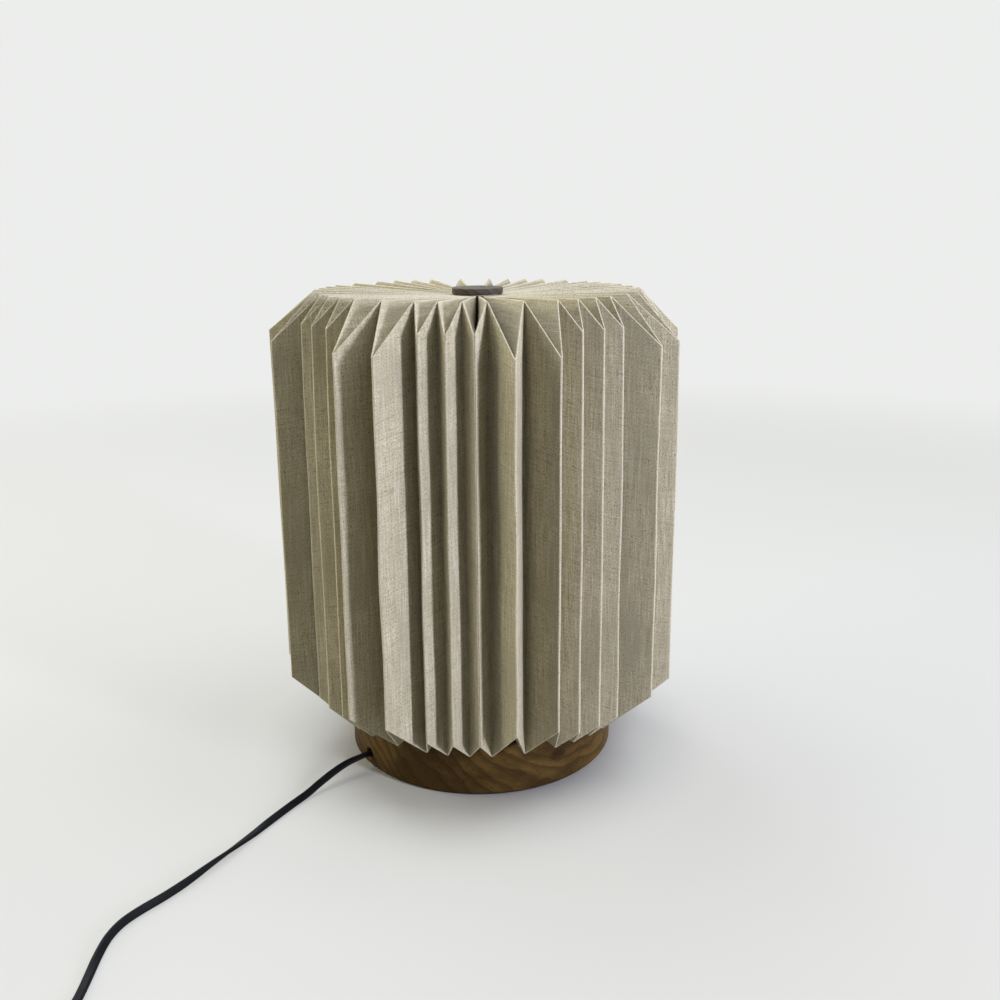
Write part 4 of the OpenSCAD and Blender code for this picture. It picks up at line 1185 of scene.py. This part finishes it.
@dataclass
class FlatLead:
    """The flat lead: from the base along the table, through the switch, round its coil, to the plug.

    Lengths are in metres. TWIST holds runs from the hole, and how far the lead is turned there, in degrees.
    """

    TWIST: ClassVar[tuple[tuple[float, float], ...]] = (
        (0.0, 0.0),
        (0.012, 0.0),
        (0.035, 40.0),
        (0.062, 50.0),
        (0.080, 25.0),
        (0.105, -32.0),
        (0.125, -78.0),
        (0.140, -108.0),
        (0.178, -118.0),
        (0.205, -180.0),
        (0.306, -180.0),
        (0.335, -90.0),
        (5.0, -90.0),
    )

    length: float = 1.5
    width: float = 0.0039
    thick: float = 0.0022
    groove: float = 0.00016
    clearance: float = 0.00005
    ring_points: int = 20
    step: float = 0.0022
    exit: Point = (-0.0564, -0.038, 0.0075)
    lead_route: tuple[Point, ...] = (
        (-0.0564, -0.0380, 0.0075),
        (-0.0622, -0.0419, 0.0075),
        (-0.0680, -0.0460, 0.0073),
        (-0.0740, -0.0507, 0.0066),
        (-0.0800, -0.0568, 0.0052),
        (-0.0860, -0.0642, 0.0035),
        (-0.0917, -0.0724, 0.0021),
        (-0.1015, -0.0881, 0.0012),
        (-0.1106, -0.1033, 0.0014),
        (-0.1190, -0.1180, 0.0020),
        (-0.1270, -0.1317, 0.0019),
        (-0.1349, -0.1449, 0.0013),
        (-0.1426, -0.1557, 0.0012),
        (-0.1503, -0.1650, 0.0012),
        (-0.1555, -0.1730, 0.0012),
        (-0.1582, -0.1820, 0.0012),
        (-0.1589, -0.1924, 0.0012),
        (-0.1587, -0.2030, 0.0012),
        (-0.1584, -0.2138, 0.0012),
        (-0.1584, -0.2220, 0.0018),
        (-0.1585, -0.2300, 0.0036),
        (-0.1585, -0.2360, 0.0048),
        (-0.1585, -0.2430, 0.0050),
    )
    link_route: tuple[Point, ...] = (
        (-0.1585, -0.2890, 0.0050),
        (-0.1585, -0.2970, 0.0052),
        (-0.1586, -0.3050, 0.0058),
        (-0.1586, -0.3130, 0.0066),
        (-0.1585, -0.3220, 0.0069),
        (-0.1580, -0.3300, 0.0069),
    )
    tail_route: tuple[Point, ...] = (
        (-0.1060, -0.3300, 0.0028),
        (-0.1055, -0.3220, 0.0028),
        (-0.1054, -0.3150, 0.0032),
        (-0.1054, -0.3090, 0.0038),
        (-0.1055, -0.3030, 0.0040),
        (-0.1055, -0.2970, 0.0040),
    )
    coil_centre: tuple[float, float] = (-0.132, -0.335)
    coil_outer_r: float = 0.02645
    coil_pitch: float = 0.0023
    coil_high: float = 0.0070
    coil_low: float = 0.0028
    coil_turns: float = 7.5
    points_per_turn: int = 24
    curve_steps: int = 5
    flat_after: float = 0.008
    untwist_run: float = 0.02
    settle_from: float = 0.045
    settle_to: float = 0.215
    settle_blend: float = 0.012
    settle_reach: float = 0.0012

    def coil_point(self, turn: float) -> Point:
        """Places the lead's middle in the coil, which goes inwards first and then out again below.

        Args:
            turn: How many turns the lead has made.

        Returns:
            The point.
        """
        inwards = sum(np.clip((turn - start) / 0.15, 0, 1) for start in (0.8, 1.8, 2.8))
        outwards = sum(np.clip((turn - start) / 0.2, 0, 1) for start in (4.5, 5.5, 6.5))
        drop = np.clip((turn - 3.68) / 0.18, 0, 1)
        r = self.coil_outer_r - self.coil_pitch * (inwards - outwards)
        z = self.coil_high + (self.coil_low - self.coil_high) * drop * drop * (3 - 2 * drop)
        angle = math.pi + 2 * math.pi * turn
        return (self.coil_centre[0] + r * math.cos(angle), self.coil_centre[1] + r * math.sin(angle), z)

    def roll_at(self, run: float, coil_end: float) -> float:
        """How far the flat lead is turned on its edge.

        Args:
            run: The run from the hole.
            coil_end: The run at which the lead leaves its coil, and turns flat for the plug.

        Returns:
            The turn in degrees.
        """
        flat_from = coil_end + self.flat_after
        share = np.interp(run, (flat_from, flat_from + self.untwist_run), (1.0, 0.0))
        return float(np.interp(run, *zip(*self.TWIST)) * share)

    @staticmethod
    def runs_along(points: np.ndarray) -> np.ndarray:
        """The length of a line up to each of its points."""
        return np.concatenate([[0], np.cumsum(np.linalg.norm(np.diff(points, axis=0), axis=1))])

    def coil_end(self, line: np.ndarray) -> float:
        """The run at which the lead leaves its coil."""
        tail = sum(math.dist(a, b) for a, b in zip(self.tail_route, self.tail_route[1:]))
        return self.runs_along(line)[-1] - tail

    def smooth_line(self) -> np.ndarray:
        """Draws a smooth curve through every point of the lead's route.

        Returns:
            The curve's points.
        """
        turns = np.arange(int(self.coil_turns * self.points_per_turn) + 1) / self.points_per_turn
        coil = [self.coil_point(turn) for turn in turns]
        knots = np.array([*self.lead_route, *self.link_route, *coil, *self.tail_route])
        ahead = np.vstack([knots[1:], 2 * knots[-1] - knots[-2]])
        before = np.vstack([2 * knots[0] - knots[1], knots[:-1]])
        after = np.vstack([ahead[1:], 2 * ahead[-1] - ahead[-2]])
        points = []
        for p0, p1, p2, p3 in zip(before, knots, ahead, after):
            slope, bend = p2 - p0, 2 * p0 - 5 * p1 + 4 * p2 - p3
            pull = 3 * p1 - p0 - 3 * p2 + p3
            for t in np.linspace(0, 1, self.curve_steps + 1)[:-1]:
                points.append(0.5 * (2 * p1 + slope * t + bend * t**2 + pull * t**3))
        return np.array(points[: 1 - self.curve_steps])

    def centreline(self) -> np.ndarray:
        """Spaces the points of the lead's middle line evenly.

        Returns:
            The points.
        """
        points = self.smooth_line()
        run = self.runs_along(points)
        even = np.linspace(0, run[-1], int(run[-1] / self.step))
        return np.stack([np.interp(even, run, points[:, axis]) for axis in range(3)], axis=1)

    def section(self) -> np.ndarray:
        """Draws the lead's outline: two round edges, and a shallow groove along each face.

        Returns:
            The outline's points, across and up.
        """
        angles = np.linspace(0, 2 * math.pi, self.ring_points, endpoint=False)
        reach = self.width / 2 - self.thick / 2
        x = reach * np.sign(np.cos(angles)) * np.abs(np.cos(angles)) ** 0.6 + self.thick / 2 * np.cos(angles)
        dip = self.groove * np.exp(-((x / (0.16 * self.width)) ** 2))
        y = (self.thick / 2 - dip) * np.sign(np.sin(angles)) * np.abs(np.sin(angles)) ** 0.75
        return np.stack([x, y], axis=1)

    def mesh(self, line: np.ndarray, coil_end: float) -> bpy.types.Object:
        """Makes the lead as a closed tube along its middle line.

        Args:
            line: The middle line's points.
            coil_end: The run at which the lead leaves its coil.

        Returns:
            The tube's object.
        """
        run = self.runs_along(line)
        section = self.section()
        rings = []
        for i, point in enumerate(line):
            tangent = line[min(i + 1, len(line) - 1)] - line[max(i - 1, 0)]
            tangent /= np.linalg.norm(tangent)
            side = np.cross(tangent, (0, 0, 1))
            side /= np.linalg.norm(side)
            up = np.cross(side, tangent)
            roll = math.radians(self.roll_at(run[i], coil_end))
            wide = math.cos(roll) * side + math.sin(roll) * up
            flat = math.cos(roll) * up - math.sin(roll) * side
            rings.append(point + section[:, :1] * wide + section[:, 1:] * flat)
        points = np.concatenate(rings)
        count = self.ring_points
        faces = []
        for i in range(len(line) - 1):
            for j in range(count):
                k = (j + 1) % count
                faces.append((i * count + j, i * count + k, (i + 1) * count + k, (i + 1) * count + j))
        faces.append(tuple(reversed(range(count))))
        faces.append(tuple(range((len(line) - 1) * count, len(line) * count)))
        mesh = bpy.data.meshes.new("flat_lead")
        mesh.from_pydata(points.tolist(), [], faces)
        mesh.polygons.foreach_set("use_smooth", [len(f) == 4 for f in faces])
        lead = bpy.data.objects.new("flat_lead", mesh)
        bpy.context.scene.collection.objects.link(lead)
        return lead

    def settled(self, line: np.ndarray, coil_end: float) -> np.ndarray:
        """Lays the line on the table at the height that its turned section needs.

        Args:
            line: The middle line's points.
            coil_end: The run at which the lead leaves its coil.

        Returns:
            The points, laid on the table.
        """
        result = line.copy()
        section = self.section()
        for i, run in enumerate(self.runs_along(line)):
            inside = min(run - self.settle_from, self.settle_to - run)
            if inside <= 0:
                continue
            roll = math.radians(self.roll_at(run, coil_end))
            reach = float((section @ np.array([math.sin(roll), math.cos(roll)])).max())
            rest = reach + self.clearance
            if line[i, 2] < rest + self.settle_reach:
                blend = min(1.0, inside / self.settle_blend)
                result[i, 2] = (1 - blend) * line[i, 2] + blend * rest
            result[i, 2] = max(result[i, 2], rest)
        return result

    def build(self) -> None:
        line = self.centreline()
        coil_end = self.coil_end(self.smooth_line())
        line = self.settled(line, coil_end)
        lead = self.mesh(line, coil_end)
        lead.data.materials.append(Sheath("cord_sheath", rgb(0.004, 0.0042, 0.0045), 0.5).material())
        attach(lead, "stand")
        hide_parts("cord_lead", "cord_link", "cord_coil", "cord_tail")
        dress(Plastic("tie_black", BOARD_BLACK, 0.62, grain=0.05).material(), "coil_tie")
        LOG.info("flat lead: %.3f m", self.runs_along(line)[-1])


# The pieces that keep their solids


@dataclass
class InlineSwitch:
    """The rocker switch on the lead."""

    NODES: ClassVar[tuple[str, ...]] = (
        "switch_lower_shell",
        "switch_upper_shell",
        "switch_screws",
        "switch_contacts",
        "rocker",
        "rocker_pin",
    )

    def build(self) -> None:
        """Dresses the switch's pieces."""
        shell = Plastic("switch_black", CASE_BLACK, 0.42, grain=0.05)
        dress(shell.material(), "switch_lower_shell", "switch_upper_shell", "rocker")
        steel = Metal("plated_steel", STEEL, 0.25, Marks.TURNED)
        dress(steel.material(), "switch_screws", "rocker_pin")
        dress(Metal("switch_brass", BRASS, 0.25, Marks.ROLLED).material(), "switch_contacts")
        LOG.info("inline switch: %d pieces", len(self.NODES))


@dataclass
class Plug:
    """The plug at the lead's far end."""

    NODES: ClassVar[tuple[str, ...]] = (
        "plug_relief",
        "plug_grip",
        "usb_shell",
        "usb_tongue",
        "usb_contacts",
    )

    def build(self) -> None:
        """Dresses the plug's pieces."""
        moulded = Plastic("plug_black", CASE_BLACK, 0.45, grain=0.05)
        dress(moulded.material(), "plug_relief", "plug_grip")
        dress(Metal("shell_steel", rgb(0.78, 0.79, 0.8), 0.14, Marks.ROLLED).material(), "usb_shell")
        dress(Plastic("tongue_white", rgb(0.85, 0.84, 0.8), 0.4, edge_gain=1.05).material(), "usb_tongue")
        dress(Metal("contact_gold", rgb(0.85, 0.66, 0.3), 0.16, Marks.ROLLED).material(), "usb_contacts")
        LOG.info("plug: %d pieces", len(self.NODES))


@dataclass
class WoodBase:
    """The turned base, with the pad, the cover and the clamp under and inside it."""

    def build(self) -> None:
        """Dresses the base's pieces."""
        wood = Walnut(
            "walnut",
            mid=rgb(0.05, 0.0275, 0.007),
            dark=rgb(0.028, 0.0155, 0.005),
            gold=rgb(0.108, 0.063, 0.0165),
            spacing=6.5,
            pith=95.0,
            knot=(40.5, -63.1, 17.5),
            knot_r=5.5,
        )
        dress(wood.material(), "base_disc")
        dress(Felt().material(), "felt_pad")
        board = Plastic("cover_board", BOARD_BLACK, 0.6, grain=0.08)
        dress(board.material(), "bottom_cover", "clamp_block")
        steel = Metal("zinc_steel", STEEL, 0.28, Marks.TURNED).material()
        dress(steel, "cover_screws", "clamp_screws", "clamp_bar", "lower_washer", "lower_nut")
        LOG.info("wood base: grain spacing %.1f mm", wood.spacing)


@dataclass
class LightColumn:
    """The pipe, the light bar and its boards, and the opal tube with its plates."""

    strip_count: int = 3

    def build(self) -> None:
        """Dresses the column's pieces."""
        brass = Metal("brass", BRASS, 0.22, Marks.DRAWN)
        dress(brass.material(), "lamp_pipe", "foot_nut", "head_nut")
        dress(Metal("aluminium", rgb(0.76, 0.77, 0.78), 0.3, Marks.DRAWN).material(), "light_bar")
        plates = Metal("plate_steel", STEEL, 0.3, Marks.TURNED).material()
        dress(plates, "foot_plate", "head_plate")
        boards = (f"light_strip_{i + 1}" for i in range(self.strip_count))
        dress(LightBoard().material(), *boards)
        opal = Plastic("opal", rgb(0.9, 0.89, 0.85), 0.3, grain=0.01, edge_gain=1.02, glow=0.4)
        dress(opal.material(), "opal_tube")
        dress(Sheath("inner_sheath", rgb(0.012, 0.012, 0.014)).material(), "inner_lead")
        dress(Sheath("wire_sheath", rgb(0.4, 0.04, 0.03), 0.4).material(), "inner_wires")
        LOG.info("light column: %d boards", self.strip_count)


@dataclass
class Cap:
    """The small wooden disc on top and the spigot that it sits on."""

    def build(self) -> None:
        """Dresses the cap's pieces."""
        wood = Walnut(
            "cap_walnut",
            mid=rgb(0.075, 0.058, 0.041),
            dark=rgb(0.036, 0.028, 0.021),
            gold=rgb(0.125, 0.1, 0.073),
            spacing=3.2,
            pith=40.0,
            knot=(-40.0, 0.0, 250.0),
            knot_r=1.0,
        )
        dress(wood.material(), "cap_disc")
        dress(Plastic("spigot_nylon", NYLON, 0.45, edge_gain=1.1).material(), "cap_spigot")
        LOG.info("cap: grain spacing %.1f mm", wood.spacing)


# The studio


@dataclass(frozen=True)
class SoftLamp:
    """A soft lamp that faces the object: where it hangs, its size, power in watts and colour."""

    name: str
    way: Point
    distance: float
    size: tuple[float, float]
    power: float
    colour: Colour
    aim: Point = (0.0, 0.0, 0.13)

    def hang(self) -> None:
        """Hangs the lamp in the scene."""
        data = bpy.data.lights.new(self.name, "AREA")
        data.shape = "RECTANGLE"
        data.size, data.size_y = self.size
        data.energy = self.power
        data.color = self.colour[:3]
        lamp = bpy.data.objects.new(self.name, data)
        toward = Vector(self.way).normalized()
        lamp.location = toward * self.distance + Vector(self.aim)
        lamp.rotation_euler = toward.to_track_quat("Z", "Y").to_euler()
        bpy.context.scene.collection.objects.link(lamp)


@dataclass
class Studio:
    """The camera, the lamps, the world and the pale floor.

    The camera's angles are in degrees. The floor's shares say how much of its shown colour is its own plain one
    and not the light on it: little beside the base, more further out, and all of it where the floor fades away.
    """

    LAMPS: ClassVar[tuple[SoftLamp, ...]] = (
        SoftLamp("key_lamp", (0.75, -0.66, 0.22), 1.6, (0.18, 0.5), 23.5, rgb(0.97, 1.0, 1.27)),
        SoftLamp("right_lamp", (0.58, 0.0, 1.0), 1.5, (1.1, 1.1), 20.5, rgb(0.95, 1.0, 1.14)),
        SoftLamp("left_lamp", (-1.0, 0.0, 0.36), 1.5, (1.1, 1.1), 19.5, rgb(1.02, 1.0, 0.86)),
        SoftLamp("back_lamp", (-0.4, 0.55, 1.0), 1.5, (1.1, 1.1), 22.0, rgb(0.94, 1.0, 1.17)),
    )

    camera_at: Point = (0.0, -0.551579, 0.295048)
    focal_px: float = 1024.787
    pitch: float = 15.648
    yaw: float = 1.182
    roll: float = -0.268
    sensor: float = 36.0
    ambient: float = 0.01
    ambient_colour: Colour = rgb(1.0, 0.95, 0.76)
    backdrop: Colour = rgb(0.84, 0.85, 0.84)
    floor: Colour = rgb(0.475, 0.462, 0.415)
    floor_seen: Colour = rgb(0.83, 0.84, 0.805)
    floor_r: float = 6.0
    floor_sides: int = 96
    floor_z: float = -0.00005
    near_share: float = 0.02
    near_end: float = 0.14
    floor_share: float = 0.53
    base_r: float = 0.072
    fade_start: float = 0.5
    fade_end: float = 1.4

    def place_camera(self) -> None:
        """Sets the camera at the height, tilt and angle of view that the object is looked at from."""
        pitch, yaw, roll = (math.radians(a) for a in (self.pitch, self.yaw, self.roll))
        forward = Vector((math.sin(yaw) * math.cos(pitch), math.cos(yaw) * math.cos(pitch), -math.sin(pitch)))
        right = Vector((math.cos(yaw), -math.sin(yaw), 0.0))
        up = right.cross(forward)
        rolled_right = math.cos(roll) * right + math.sin(roll) * up
        rolled_up = -math.sin(roll) * right + math.cos(roll) * up
        data = bpy.data.cameras.new("camera")
        data.sensor_width = self.sensor
        data.lens = self.sensor * self.focal_px / IMAGE_SIZE
        data.clip_start = 0.01
        camera = bpy.data.objects.new("camera", data)
        turned = Matrix((rolled_right, rolled_up, -forward)).transposed().to_4x4()
        camera.matrix_world = Matrix.Translation(self.camera_at) @ turned
        bpy.context.scene.collection.objects.link(camera)
        bpy.context.scene.camera = camera

    def light_world(self) -> None:
        """Soft light from all round, and the pale backdrop that the camera and the gloss see."""
        world = bpy.data.worlds.new("studio")
        bpy.context.scene.world = world
        world.use_nodes = True
        tree = ShaderTree(world.node_tree)
        tree.tree.nodes.clear()
        ambient = tree.add("ShaderNodeBackground", {"Color": self.ambient_colour, "Strength": self.ambient})
        seen = tree.add("ShaderNodeBackground", {"Color": self.backdrop, "Strength": 1.0})
        tree.feed(self.output(tree, "World"), self.seen_mix(tree, ambient.outputs[0], seen.outputs[0]))

    @staticmethod
    def output(tree: ShaderTree, kind: str) -> Socket:
        """The Surface input of a new output node."""
        return tree.add(f"ShaderNodeOutput{kind}").inputs["Surface"]

    @staticmethod
    def seen_mix(tree: ShaderTree, unseen: Socket, seen: Socket, share: Feed = 1.0) -> Socket:
        """Mixes two shaders by who looks.

        Args:
            tree: The tree that the nodes go into.
            unseen: The shader for light that bounces.
            seen: The shader for what the camera, gloss and glass see.
            share: How much of the seen shader those get.

        Returns:
            The mixed shader.
        """
        path = tree.add("ShaderNodeLightPath").outputs
        looked_at = tree.most(path["Is Camera Ray"], path["Is Glossy Ray"], path["Is Transmission Ray"])
        sockets = {0: tree.times(looked_at, share), 1: unseen, 2: seen}
        return tree.add("ShaderNodeMixShader", sockets).outputs[0]

    def lay_floor(self) -> None:
        """A round pale floor that fades into the backdrop far from the object."""
        turns = [2 * math.pi * i / self.floor_sides for i in range(self.floor_sides)]
        points = [(self.floor_r * math.cos(a), self.floor_r * math.sin(a), self.floor_z) for a in turns]
        mesh = bpy.data.meshes.new("floor")
        mesh.from_pydata(points, [], [tuple(range(self.floor_sides))])
        floor = bpy.data.objects.new("floor", mesh)
        bpy.context.scene.collection.objects.link(floor)
        material = bpy.data.materials.new("floor")
        material.use_nodes = True
        tree = ShaderTree(material.node_tree)
        tree.tree.nodes.clear()
        place = tree.add("ShaderNodeNewGeometry").outputs["Position"]
        far = tree.length(place)
        near = tree.band(far, self.base_r, self.near_end, self.near_share, self.floor_share)
        fade = tree.band(far, self.fade_start, self.fade_end, near, 1.0)
        matt = tree.add("ShaderNodeBsdfDiffuse", {"Color": self.floor})
        tint = tree.mix(tree.band(far, self.fade_start, self.fade_end), self.floor_seen, self.backdrop)
        seen = tree.add("ShaderNodeEmission", {"Color": tint, "Strength": 1.0})
        mixed = self.seen_mix(tree, matt.outputs[0], seen.outputs[0], fade)
        tree.feed(self.output(tree, "Material"), mixed)
        mesh.materials.append(material)

    def build(self) -> None:
        """Sets up the studio."""
        scene = bpy.context.scene
        scene.view_settings.view_transform = "Standard"
        self.place_camera()
        self.light_world()
        for lamp in self.LAMPS:
            lamp.hang()
        self.lay_floor()
        LOG.info("studio: camera %.2f m from the axis", math.hypot(*self.camera_at[:2]))


def main() -> None:
    """Builds the studio and the lamp."""
    logging.basicConfig(level=logging.INFO, format="%(name)s: %(message)s")
    assemblies = (
        Studio(),
        FlatLead(),
        InlineSwitch(),
        Plug(),
        WoodBase(),
        LightColumn(),
        PleatedShade(),
        Cap(),
    )
    for assembly in assemblies:
        assembly.build()


if __name__ == "__main__":
    main()
